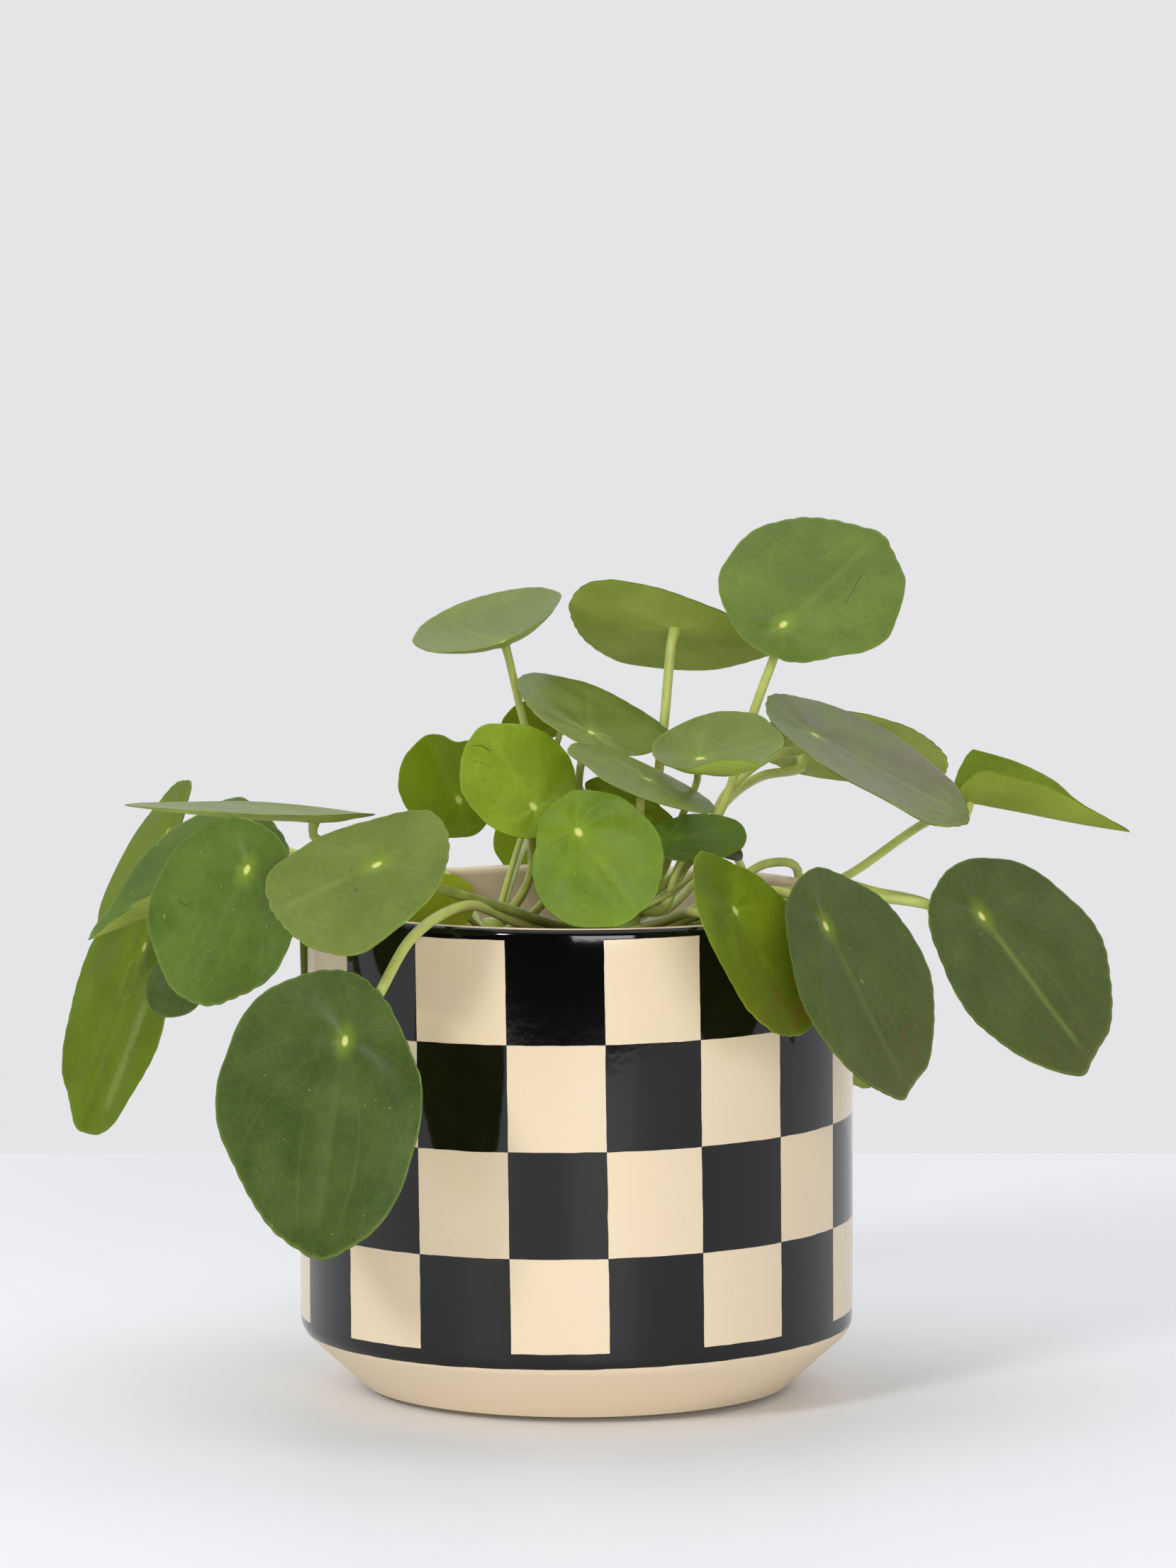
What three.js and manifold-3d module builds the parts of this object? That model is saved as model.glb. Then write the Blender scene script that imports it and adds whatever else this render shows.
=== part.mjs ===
/**
 * A potted pilea: round leaves on long stalks, growing from two short trunks in a
 * straight glazed stoneware pot with a chamfered foot.
 *
 * Units are millimetres and +Z is up. The origin is the centre of the pot's foot, on the
 * surface that the pot stands on. The side that the pot is looked at from is -Y.
 *
 * Every blade is one thin closed solid, each trunk has its leaf stalks fused to one green
 * head, and the soil fills the pot with a plain hole for each trunk.
 */
import * as THREE from 'three';
import { mergeVertices } from 'three/addons/utils/BufferGeometryUtils.js';
import Module from 'manifold-3d';

// ---------------------------------------------------------------- driving dimensions

/** Parts that touch keep this much air between them. */
const GAP = 0.3;

/** Points closer than this are one point. */
const MERGE = 1e-4;

const POT = {
  radius: 75,
  height: 134,
  wall: 4.6,
  footRadius: 58.5,
  footRound: 2.5,
  footSteps: 2,
  chamferTop: 17.4,
  shoulderRound: 7,
  shoulderSteps: 3,
  lipSteps: 6,
  floor: 6,
  segments: 48,
};

const SOIL = {
  level: 107,
  mound: 4,
  lump: 1.1,
  rings: [0.35, 0.7, 1],
  segments: 48,
  seed: 7,
};

const TRUNK = {
  bottom: 86,
  scarPitch: 5.5,
  scarHeight: 0.5,
  sides: 12,
};

const HEAD = {
  straightShare: 0.6,
  tipShare: 0.45,
  lowestStalk: 1.5,
  stalkStep: 0.9,
  sides: 10,
};

const STALK = {
  sides: 6,
  pitch: 10,
  fewestSteps: 4,
  approach: 3.5,
};

const BLADE = {
  thickness: 0.8,
  rings: [0.42, 0.75, 1],
  largeSpokes: 24,
  smallSpokes: 18,
  smallLength: 42,
  widest: 0.38,
  tipTaper: 0.1,
  scallops: 8,
  scallopShare: 0.012,
  curlPower: 7,
  creaseArc: 5,
};

/** Each leafy stem: its axis, its trunk's radius and top, and how tall its green head is. */
const CROWNS = {
  main: { at: [12, -3], trunkRadius: 5.2, trunkTop: 119, headHeight: 17 },
  side: { at: [-22, 3], trunkRadius: 4.4, trunkTop: 113, headHeight: 14 },
};

/**
 * The leaves. `seat` is the pale spot where the stalk meets the upper face, `faces` is the
 * way that the upper face looks and `points` the way that the tip lies. `reach` is how far
 * the edge lies from the seat: to the tip, to the left, to the base and to the right, seen
 * from above with the tip ahead. `widest` is where along the tip's reach the blade is
 * widest, and `taper` how much it narrows to the tip. `cup` lifts the edge and `fold`
 * creases the blade along its midrib, in millimetres and degrees. Each of its `lobes` moves
 * the edge out, and each of its `curls` turns the edge up: the turn from the tip to the
 * left, how far, and how wide, in degrees and millimetres.
 * `crown` is the stem that it grows on, `rise` how many steps up the head its stalk starts,
 * `stalk` the stalk's radius, and `via` the points that the stalk passes on its way.
 */
const LEAVES = {
  leaf_01: {
    seat: [55.5, -10, 208.5], faces: [0.07, -0.72, 0.69], points: [0.63, 0.57, 0.53],
    reach: [42, 28, 11, 20], cup: -1, taper: 0.04,
    lobes: [[-92, 3.5, 24], [-45, 1.2, 20], [3, 2, 13], [95, -0.7, 28]], crown: 'main', rise: 12, stalk: 1.5,
    via: [[23, 0, 130], [28, 2, 142], [38.5, 2, 156], [48, -4, 185]],
  },
  leaf_02: {
    seat: [27, 35, 203.5], faces: [0.22, 0.56, 0.79], points: [1, -0.21, -0.13],
    reach: [31, 31, 30.2, 17.5], fold: 8, widest: -0.5, taper: 0.3, crown: 'main', rise: 14,
    stalk: 1.6, via: [[18, 5, 136], [21, 18, 154], [24, 30, 179]],
  },
  leaf_03: {
    seat: [-19.7, 15, 201.6], faces: [-0.26, -0.25, 0.93], points: [-0.6, 0.75, 0.1],
    reach: [30, 18, 11, 25.5], cup: 4, crown: 'main', rise: 12, stalk: 1.3,
    via: [[3, 5, 134], [-5, 15, 152], [-14, 18, 178]],
  },
  leaf_04: {
    seat: [4, -15, 180], faces: [0.37, -0.22, 0.9], points: [-0.04, 0.97, 0.23],
    reach: [38, 21, 12, 27],
    lobes: [[55, 1.8, 22]], curls: [[-118, 7, 26]], crown: 'main', rise: 10, stalk: 1.3,
    via: [[4, -3, 138], [0.5, -10, 163]],
  },
  leaf_05: {
    seat: [-5.5, 33, 179], faces: [-0.2, 0.55, 0.8], points: [-0.6, -0.4, 0.1],
    reach: [16, 11, 10, 12.5], crown: 'side', rise: 12, stalk: 1,
    via: [[-16, 14, 145], [-9, 26, 163]],
  },
  leaf_06: {
    seat: [32.9, -37, 175.2], faces: [0.12, -0.5, 0.86], points: [1, 0.45, 0.12],
    reach: [24, 15, 14, 16], cup: 3,
    lobes: [[130, -1.8, 25], [45, 1.5, 20], [-52, -5, 26]], curls: [[-110, 8, 30]], crown: 'main', rise: 11, stalk: 1.2,
    via: [[22, 0, 138], [28, -6, 155], [32, -24, 167]],
  },
  leaf_07: {
    seat: [19, -45, 170.6], faces: [0.38, -0.13, 0.9], points: [-0.93, -0.1, 0.4],
    reach: [23, 19, 20, 20], cup: -1, lobes: [[48, -4, 24]], crown: 'main', rise: 9, stalk: 1.3,
    via: [[14, -18, 135], [17, -38, 150]],
  },
  leaf_08: {
    seat: [64.3, -8, 178.6], faces: [0.49, -0.24, 0.84], points: [0.87, 0.1, -0.47],
    reach: [48.5, 29, 16, 27], fold: 3, crown: 'main', rise: 9, stalk: 1.6,
    via: [[31, 6, 143], [41, 2, 162], [52, -3, 172]],
  },
  leaf_09: {
    seat: [62.6, 61, 166.5], faces: [0.12, 0.5, 0.86], points: [0.98, 0, -0.03],
    reach: [41, 16, 15, 31], crown: 'main', rise: 7, stalk: 1.6,
    via: [[23, 6, 132], [31, 16, 142.5], [40, 32, 155], [51, 50, 161]],
  },
  leaf_10: {
    seat: [107.6, 33, 156.5], faces: [0.2, -0.02, 0.97], points: [0.97, 0.05, -0.3],
    reach: [46.5, 24, 4.5, 24], fold: 32,
    widest: 0.04, taper: 0.45, lobes: [[34, -4.5, 20], [-32, -2, 18]], crown: 'main', rise: 5,
    stalk: 1.4, via: [[28, -5, 126], [61, -1, 134], [73.5, 6, 138.7], [97, 23, 152]],
  },
  leaf_11: {
    seat: [-32.2, 20, 157.8], faces: [-0.2, -0.9, 0.35], points: [-0.45, 0.3, 0.85],
    reach: [21, 14, 11, 14], lobes: [[-42, -3.5, 22]], crown: 'side', rise: 10, stalk: 1.1,
    via: [[-13, 14, 136], [-15, 25, 153], [-24, 28, 159]],
  },
  leaf_12: {
    seat: [-11.5, -25, 161], faces: [0.1, -0.86, 0.5], points: [-0.5, 0.35, 0.8],
    reach: [26, 15.2, 9, 16], lobes: [[8, 1.4, 14]], crown: 'side', rise: 12, stalk: 1.4,
    via: [[-17, -2, 131], [-12, -10, 142]],
  },
  leaf_13: {
    seat: [0.5, -58, 157.8], faces: [-0.25, -0.88, 0.4], points: [0.6, -0.12, -0.78],
    reach: [29.5, 17, 11.3, 19], lobes: [[-140, -1.8, 24]], crown: 'side', rise: 8, stalk: 1.4,
    via: [[-15, -10, 128], [-9, -26, 135]],
  },
  leaf_14: {
    seat: [25.5, -27, 152.2], faces: [0.12, -0.42, 0.89], points: [1, 0.67, 0.18],
    reach: [22.5, 9, 9, 13], crown: 'main', rise: 10, stalk: 1.2,
    via: [[20, -11, 138]],
  },
  leaf_15: {
    seat: [36.2, -14, 148.8], faces: [0.3, -0.4, 0.86], points: [0.95, 0, -0.1],
    reach: [9, 6, 4, 6], fold: 25, crown: 'main', rise: 8, stalk: 0.9,
    via: [[26, -8, 136]],
  },
  leaf_16: {
    seat: [41.6, -84, 140.2], faces: [0.72, -0.57, 0.42], points: [0.42, 0, -0.8],
    reach: [37, 20, 19, 25], fold: 12, widest: 0.55,
    lobes: [[150, -4.5, 28], [-75, -2.5, 36]], crown: 'main', rise: 3, stalk: 1.5,
    via: [[22, -30, 130], [31, -62, 137]],
  },
  leaf_17: {
    seat: [65.3, -81, 135.8], faces: [0.75, -0.54, 0.38], points: [0.45, 0, -0.89],
    reach: [51, 34.8, 15, 25.6], taper: 0.28,
    lobes: [[8, -2.8, 14], [130, -1.8, 24]], crown: 'main', rise: 1, stalk: 1.6,
    via: [[27, -14, 128], [44, -25, 137], [54, -33, 139], [61, -46, 137], [64, -64, 135.5]],
  },
  leaf_18: {
    seat: [108.5, -25, 131.5], faces: [0.58, -0.66, 0.48], points: [0.6, -0.06, -0.8],
    reach: [51, 34, 15, 27.5], taper: 0.25,
    lobes: [[8, -2.8, 14], [-22, 1.4, 12], [42, -0.6, 20], [-65, -2, 26], [-150, 1.4, 25]], crown: 'main', rise: 3, stalk: 1.6,
    via: [[33, -12, 130], [57, -18, 135], [71, -20, 136.6], [83, -22, 135.8], [95, -24, 134]],
  },
  leaf_19: {
    seat: [-86.9, -56, 147.6], faces: [-0.53, -0.82, 0.23], points: [-0.43, 0.03, -0.9],
    reach: [39, 23, 13, 25], taper: 0.2,
    lobes: [[150, -0.8, 26]], crown: 'side', rise: 4, stalk: 1.5,
    via: [[-36, -14, 130], [-59, -32, 142], [-76, -46, 149]],
  },
  leaf_20: {
    seat: [-52, -80, 151.9], faces: [-0.29, -0.61, 0.73], points: [-0.9, -0.05, -0.42],
    reach: [30, 27, 20, 18.5],
    lobes: [[-150, 3, 20], [80, 1.4, 20], [-40, 3, 22]], crown: 'main', rise: 6, stalk: 1.6,
    via: [[-3, -20, 128], [-19, -41, 135.5], [-37, -63, 143.5]],
  },
  leaf_21: {
    seat: [-60, -95, 107.5], faces: [-0.45, -0.87, 0.2], points: [-0.06, 0, -0.97],
    reach: [57.5, 25.5, 18, 36], widest: 0.28, taper: 0.26,
    lobes: [[45, 3, 26], [138, -3.4, 26], [-140, 1.8, 26], [-45, -1, 24]], crown: 'main', rise: 2, stalk: 1.7,
    via: [[-14, -30, 130], [-29, -56, 138], [-43, -78, 132], [-51, -87, 119]],
  },
  leaf_22: {
    seat: [-70, -24, 157.4], faces: [0.04, 0.06, 1], points: [-1, 0, 0.06],
    reach: [51, 26, 16, 26], cup: 2, fold: 1, crown: 'side', rise: 7, stalk: 1.4,
    via: [[-41, -7, 135], [-58, -17, 148]],
  },
  leaf_23: {
    seat: [-118.7, 28, 116.4], faces: [-0.83, -0.47, 0.3], points: [-0.19, 0.1, -0.95],
    reach: [54, 27, 14, 28],
    lobes: [[35, 2.5, 24], [-110, 5, 26], [-22, -2, 16]], crown: 'side', rise: 1, stalk: 1.5,
    via: [[-46, 10, 129], [-70, 18, 138], [-86, 22, 133.5], [-104, 26, 123]],
  },
  leaf_24: {
    seat: [-114.7, 78, 142.8], faces: [-0.87, -0.2, 0.45], points: [-0.48, 0.6, -0.64],
    reach: [43.5, 23.5, 14, 23.5], lobes: [[-42, 6.5, 32]], crown: 'side', rise: 5, stalk: 1.3,
    via: [[-47, 29, 135], [-59, 40, 137.5], [-76, 54, 138.5], [-98, 69, 145]],
  },
  leaf_25: {
    seat: [-92.1, 8, 138.7], faces: [-0.38, -0.2, 0.9], points: [-0.9, 0, -0.43],
    reach: [45, 24, 16, 27], fold: 35, widest: 0.02,
    taper: 0.45, lobes: [[-30, -3.5, 18], [-118, 2.5, 24]], crown: 'side', rise: 6, stalk: 1.3,
    via: [[-48, 5, 132], [-68, 7, 137.5], [-80, 8.5, 135.5]],
  },
  leaf_26: {
    seat: [-105, -34, 118.5], faces: [-0.5, -0.75, 0.4], points: [-0.4, 0, -0.9],
    reach: [14, 11, 7, 9], crown: 'side', rise: 1, stalk: 1.1,
    via: [[-48, -10, 129], [-70, -17, 137.5], [-95, -28, 130]],
  },
  leaf_27: {
    seat: [-33.8, -34, 138.2], faces: [-0.2, -0.75, 0.6], points: [-0.6, -0.2, -0.7],
    reach: [13, 10, 6, 10], crown: 'side', rise: 3, stalk: 1,
    via: [[-26, -16, 127]],
  },
  leaf_28: {
    seat: [-9, 88, 148], faces: [-0.35, 0.9, 0.25], points: [0, 0.1, -1],
    reach: [22, 15, 12, 15], crown: 'side', rise: 6, stalk: 1.2,
    via: [[-18, 30, 134], [-12, 66, 145]],
  },
  leaf_29: {
    seat: [69, 54, 111], faces: [0.75, 0.5, 0.4], points: [-0.2, 0.1, -0.95],
    reach: [45, 24, 13, 19], crown: 'main', rise: 4, stalk: 1.5,
    via: [[30, 18, 127], [45, 32, 135], [53, 42, 137.8], [60.5, 48, 136], [61.5, 48.5, 124]],
  },
  leaf_30: {
    seat: [14, -8, 159.5], faces: [0.42, 0.5, 0.76], points: [-0.9, 0.2, 0.3],
    reach: [13, 11, 14, 11], crown: 'main', rise: 13, stalk: 1,
    via: [[13, -6, 145]],
  },
  leaf_31: {
    seat: [1, 94, 112], faces: [0.05, 0.95, 0.3], points: [0, 0.25, -0.97],
    reach: [42, 27, 13, 27], crown: 'main', rise: 3, stalk: 1.5,
    via: [[8, 35, 130], [3, 66, 138], [1, 82, 132]],
  },
  leaf_32: {
    seat: [-52, 84, 116], faces: [-0.45, 0.85, 0.25], points: [-0.2, 0.2, -0.95],
    reach: [38, 24, 12, 25], crown: 'side', rise: 2, stalk: 1.4,
    via: [[-31, 35, 129], [-43, 62, 138], [-48, 76, 132]],
  },
  leaf_33: {
    seat: [50, 86, 110], faces: [0.45, 0.87, 0.2], points: [0.2, 0.2, -0.95],
    reach: [38, 25, 13, 25], crown: 'main', rise: 1, stalk: 1.4,
    via: [[28, 38, 128], [41, 61, 139], [47, 79, 129]],
  },
  leaf_34: {
    seat: [111, 30, 119], faces: [0.62, 0.5, 0.6], points: [0.5, 0.3, -0.8],
    reach: [32, 21, 11, 21], crown: 'main', rise: 2, stalk: 1.4,
    via: [[38, 4, 129], [70, 10, 136.2], [81, 12.5, 133.6], [97, 18, 128.9]],
  },
  leaf_35: {
    seat: [-92, 48, 126], faces: [-0.6, 0.6, 0.5], points: [-0.6, 0.5, -0.6],
    reach: [30, 20, 11, 20], crown: 'side', rise: 3, stalk: 1.3,
    via: [[-42, 18, 129], [-64, 33, 138], [-80, 42, 132]],
  },
};

const COLOURS = {
  pot: { color: 0xe4cfa4, roughness: 0.25, metalness: 0 },
  soil: { color: 0x3a2a1e, roughness: 0.95, metalness: 0 },
  trunk: { color: 0x6b4f33, roughness: 0.85, metalness: 0 },
  stalk: { color: 0x9aa842, roughness: 0.5, metalness: 0 },
  blade: { color: 0x4f7425, roughness: 0.45, metalness: 0 },
};

// ---------------------------------------------------------------- solids and helpers

const wasm = await Module();
wasm.setup();

const rad = THREE.MathUtils.degToRad;

/** A repeatable random number source in 0..1. */
function randomSource(seed) {
  let state = seed >>> 0;
  return () => {
    state = (Math.imul(state, 1664525) + 1013904223) >>> 0;
    return state / 2 ** 32;
  };
}

/** The geometry with only positions left and its shared vertices merged. */
function bare(geometry) {
  const plain = geometry.clone();
  plain.deleteAttribute('normal');
  plain.deleteAttribute('uv');
  return mergeVertices(plain, MERGE);
}

/** A closed geometry as a solid that can be joined and cut. */
function solidOf(geometry) {
  const merged = bare(geometry);
  const mesh = new wasm.Mesh({
    numProp: 3,
    vertProperties: new Float32Array(merged.attributes.position.array),
    triVerts: new Uint32Array(merged.index.array),
  });
  return new wasm.Manifold(mesh);
}

/** A solid back as a geometry with flat facets. */
function geometryOf(solid) {
  const mesh = solid.getMesh();
  const geometry = new THREE.BufferGeometry();
  geometry.setAttribute('position', new THREE.BufferAttribute(new Float32Array(mesh.vertProperties), 3));
  geometry.setIndex(new THREE.BufferAttribute(new Uint32Array(mesh.triVerts), 1));
  geometry.computeVertexNormals();
  return geometry;
}

/** Points of an arc in the profile plane, from one angle to another in degrees. */
function arc(centreX, centreY, radius, fromDeg, toDeg, steps) {
  const points = [];
  for (let i = 0; i <= steps; i += 1) {
    const angle = rad(fromDeg + ((toDeg - fromDeg) * i) / steps);
    points.push(new THREE.Vector2(centreX + radius * Math.cos(angle), centreY + radius * Math.sin(angle)));
  }
  return points;
}

/** A closed surface of revolution about +Z; its profile gives radius and height. */
function turned(profile, segments) {
  const geometry = new THREE.LatheGeometry(profile, segments);
  geometry.rotateX(Math.PI / 2);
  return geometry;
}

function meshOf(name, geometry, look) {
  const mesh = new THREE.Mesh(geometry, new THREE.MeshStandardMaterial(look));
  mesh.name = name;
  return mesh;
}

// ---------------------------------------------------------------- pot and soil

/** Slope of the pot's chamfer, from the foot's edge up to the wall. */
const chamferAngle = Math.atan2(POT.chamferTop, POT.radius - POT.footRadius);

/** Outside and inside of the pot in one profile, from the foot's centre to the floor's. */
function potProfile() {
  const lip = POT.wall / 2;
  const chamferDeg = THREE.MathUtils.radToDeg(chamferAngle);
  const shoulderDrop = POT.shoulderRound * Math.tan(chamferAngle / 2 - Math.PI / 4);
  const shoulderX = POT.radius - POT.shoulderRound;
  const shoulderZ = POT.chamferTop - shoulderDrop;
  const footX = POT.footRadius - POT.footRound * Math.tan(chamferAngle / 2);
  const innerRadius = POT.radius - POT.wall;
  const innerFoot = POT.footRadius - POT.wall;
  const innerRise = POT.floor + (innerRadius - innerFoot) * Math.tan(chamferAngle);
  return [
    new THREE.Vector2(0, 0),
    ...arc(footX, POT.footRound, POT.footRound, -90, chamferDeg - 90, POT.footSteps),
    ...arc(shoulderX, shoulderZ, POT.shoulderRound, chamferDeg - 90, 0, POT.shoulderSteps),
    ...arc(POT.radius - lip, POT.height - lip, lip, 0, 180, POT.lipSteps),
    new THREE.Vector2(innerRadius, innerRise),
    new THREE.Vector2(innerFoot, POT.floor),
    new THREE.Vector2(0, POT.floor),
  ];
}

/** The soil's top: gently mounded towards the trunks, with seeded lumps. */
function soilSolid() {
  const random = randomSource(SOIL.seed);
  const innerRadius = POT.radius - POT.wall - GAP;
  const innerFoot = POT.footRadius - POT.wall - GAP;
  const innerRise = POT.floor + (innerRadius - innerFoot) * Math.tan(chamferAngle) + GAP;
  const profile = [
    new THREE.Vector2(0, POT.floor + GAP),
    new THREE.Vector2(innerFoot, POT.floor + GAP),
    new THREE.Vector2(innerRadius, innerRise),
    ...[...SOIL.rings].reverse().map((share) => (
      new THREE.Vector2(innerRadius * share, SOIL.level + SOIL.mound * (1 - share * share)))),
    new THREE.Vector2(0, SOIL.level + SOIL.mound),
  ];
  const geometry = bare(turned(profile, SOIL.segments));
  const place = geometry.attributes.position;
  for (let i = 0; i < place.count; i += 1) {
    const lump = SOIL.lump * (2 * random() - 1);
    if (place.getZ(i) > SOIL.level - GAP) place.setZ(i, place.getZ(i) + lump);
  }
  let soil = solidOf(geometry);
  for (const crown of Object.values(CROWNS)) {
    const hole = turned([
      new THREE.Vector2(0, TRUNK.bottom - GAP),
      new THREE.Vector2(crown.trunkRadius + TRUNK.scarHeight + GAP, TRUNK.bottom - GAP),
      new THREE.Vector2(crown.trunkRadius + TRUNK.scarHeight + GAP, POT.height),
      new THREE.Vector2(0, POT.height),
    ], TRUNK.sides);
    hole.translate(...crown.at, 0);
    soil = soil.subtract(solidOf(hole));
  }
  return soil;
}

// ---------------------------------------------------------------- blades

/** A point `s` across from the midrib of a creased blade: how far out it lies, and how high. */
function crease(s, height, foldRad) {
  const side = Math.sign(s);
  const along = Math.abs(s);
  if (foldRad === 0) return [s, height];
  const radius = BLADE.creaseArc / foldRad;
  const angle = Math.sign(foldRad) * Math.min(along / Math.abs(radius), Math.abs(foldRad));
  const rest = Math.max(0, along - BLADE.creaseArc);
  const out = (radius - height) * Math.sin(angle) + rest * Math.cos(angle);
  const up = radius - (radius - height) * Math.cos(angle) + rest * Math.sin(angle);
  return [side * out, up];
}

/** The sum of soft bumps round the blade, at a turn from its tip. */
function bumpsAt(bumps, angle) {
  return (bumps ?? []).reduce((sum, [turn, size, width]) => {
    const away = Math.abs(rad(turn) - angle) % (2 * Math.PI);
    return sum + size * Math.exp(-((Math.min(away, 2 * Math.PI - away) / rad(width)) ** 2));
  }, 0);
}

/** A point of the flat blade, bent into its cup, curls and crease. */
function bend(leaf, x, y, share, angle, height) {
  const curl = bumpsAt(leaf.curls, angle) * share ** BLADE.curlPower;
  const lift = height + (leaf.cup ?? 0) * share * share + curl;
  const [out, up] = crease(y, lift, rad(leaf.fold ?? 0));
  return new THREE.Vector3(x, out, up);
}

/** The blade's edge at a turn about its middle: along and across the midrib. */
function bladeEdge(leaf, angle) {
  const [tip, left, base, right] = leaf.reach;
  const middle = (leaf.widest ?? BLADE.widest) * tip;
  const ahead = Math.cos(angle);
  const aside = Math.sin(angle);
  const scallop = 1 + BLADE.scallopShare * Math.sin(BLADE.scallops * angle + left);
  const taper = 1 - (leaf.taper ?? BLADE.tipTaper) * Math.max(0, ahead) ** 2;
  const along = ahead > 0 ? (tip - middle) * ahead : (middle + base) * ahead;
  const across = (aside > 0 ? left : right) * aside * taper;
  const out = scallop + bumpsAt(leaf.lobes, angle) / Math.hypot(along, across);
  return [middle + along * out, across * out];
}

/** One blade in its own frame: +X to the tip, +Z up from its upper face, seat at zero. */
function bladeGeometry(leaf) {
  const [tip, , base] = leaf.reach;
  const spokes = tip + base < BLADE.smallLength ? BLADE.smallSpokes : BLADE.largeSpokes;
  const points = [];
  const triangles = [];
  for (const height of [0, -BLADE.thickness]) {
    points.push(bend(leaf, 0, 0, 0, 0, height));
    for (const share of BLADE.rings) {
      for (let i = 0; i < spokes; i += 1) {
        const angle = (2 * Math.PI * i) / spokes;
        const [x, y] = bladeEdge(leaf, angle);
        points.push(bend(leaf, x * share, y * share, share, angle, height));
      }
    }
  }
  const layer = 1 + BLADE.rings.length * spokes;
  const at = (ring, i) => 1 + ring * spokes + (i % spokes);
  const add = (a, b, c) => {
    triangles.push(a, b, c);
    triangles.push(layer + a, layer + c, layer + b);
  };
  for (let i = 0; i < spokes; i += 1) {
    add(0, at(0, i), at(0, i + 1));
    for (let ring = 0; ring < BLADE.rings.length - 1; ring += 1) {
      add(at(ring, i), at(ring + 1, i), at(ring + 1, i + 1));
      add(at(ring, i), at(ring + 1, i + 1), at(ring, i + 1));
    }
    const edge = BLADE.rings.length - 1;
    const [a, b] = [at(edge, i), at(edge, i + 1)];
    triangles.push(a, layer + a, layer + b);
    triangles.push(a, layer + b, b);
  }
  const geometry = new THREE.BufferGeometry().setFromPoints(points);
  geometry.setIndex(triangles);
  geometry.computeVertexNormals();
  return geometry;
}

/** The blade's own axes: tip, left and upward, square to each other. */
function bladeAxes(leaf) {
  const up = new THREE.Vector3(...leaf.faces).normalize();
  const tip = new THREE.Vector3(...leaf.points);
  tip.addScaledVector(up, -tip.dot(up)).normalize();
  const left = new THREE.Vector3().crossVectors(up, tip);
  return { tip, left, up };
}

function bladeMesh(name, leaf) {
  const { tip, left, up } = bladeAxes(leaf);
  const mesh = meshOf(name, bladeGeometry(leaf), COLOURS.blade);
  mesh.quaternion.setFromRotationMatrix(new THREE.Matrix4().makeBasis(tip, left, up));
  mesh.position.set(...leaf.seat);
  return mesh;
}

// ---------------------------------------------------------------- trunks and stalks

/** A bare trunk with a low ridge where each old leaf fell. */
function trunkGeometry(crown) {
  const profile = [
    new THREE.Vector2(0, TRUNK.bottom),
    new THREE.Vector2(crown.trunkRadius, TRUNK.bottom),
  ];
  const lastScar = crown.trunkTop - TRUNK.scarPitch / 2;
  for (let z = TRUNK.bottom + TRUNK.scarPitch; z < lastScar; z += TRUNK.scarPitch) {
    profile.push(new THREE.Vector2(crown.trunkRadius - TRUNK.scarHeight, z - TRUNK.scarPitch / 2));
    profile.push(new THREE.Vector2(crown.trunkRadius + TRUNK.scarHeight / 2, z));
  }
  profile.push(new THREE.Vector2(crown.trunkRadius - TRUNK.scarHeight, crown.trunkTop));
  profile.push(new THREE.Vector2(0, crown.trunkTop));
  const geometry = turned(profile, TRUNK.sides);
  geometry.translate(...crown.at, 0);
  return geometry;
}

/** The green head on a trunk, which the stalks grow out of. */
function headGeometry(crown) {
  const bottom = crown.trunkTop + GAP;
  const radius = crown.trunkRadius;
  const profile = [
    new THREE.Vector2(0, bottom),
    new THREE.Vector2(radius, bottom),
    new THREE.Vector2(radius, bottom + crown.headHeight * HEAD.straightShare),
    new THREE.Vector2(radius * HEAD.tipShare, bottom + crown.headHeight),
    new THREE.Vector2(0, bottom + crown.headHeight),
  ];
  const geometry = turned(profile, HEAD.sides);
  geometry.translate(...crown.at, 0);
  return geometry;
}

/** A leaf's stalk, from the middle of its head to just under its blade. */
function stalkGeometry(leaf) {
  const crown = CROWNS[leaf.crown];
  const { up } = bladeAxes(leaf);
  const startZ = crown.trunkTop + GAP + HEAD.lowestStalk + leaf.rise * HEAD.stalkStep;
  const start = new THREE.Vector3(...crown.at, startZ);
  const end = new THREE.Vector3(...leaf.seat).addScaledVector(up, -(BLADE.thickness + GAP));
  const approach = end.clone().addScaledVector(up, -STALK.approach);
  const passes = leaf.via.map((point) => new THREE.Vector3(...point));
  const path = new THREE.CatmullRomCurve3([start, ...passes, approach, end], false, 'centripetal');
  const section = new THREE.Shape();
  for (let i = 0; i < STALK.sides; i += 1) {
    const angle = (2 * Math.PI * i) / STALK.sides;
    const point = [leaf.stalk * Math.cos(angle), leaf.stalk * Math.sin(angle)];
    if (i === 0) section.moveTo(...point);
    else section.lineTo(...point);
  }
  section.closePath();
  const steps = Math.max(STALK.fewestSteps, Math.round(path.getLength() / STALK.pitch));
  return new THREE.ExtrudeGeometry(section, { steps, bevelEnabled: false, extrudePath: path });
}

/** A crown's head with all its stalks fused to it. */
function stalksSolid(crownName) {
  let solid = solidOf(headGeometry(CROWNS[crownName]));
  for (const leaf of Object.values(LEAVES)) {
    if (leaf.crown === crownName) solid = solid.add(solidOf(stalkGeometry(leaf)));
  }
  return solid;
}

// ---------------------------------------------------------------- the plant in its pot

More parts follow.
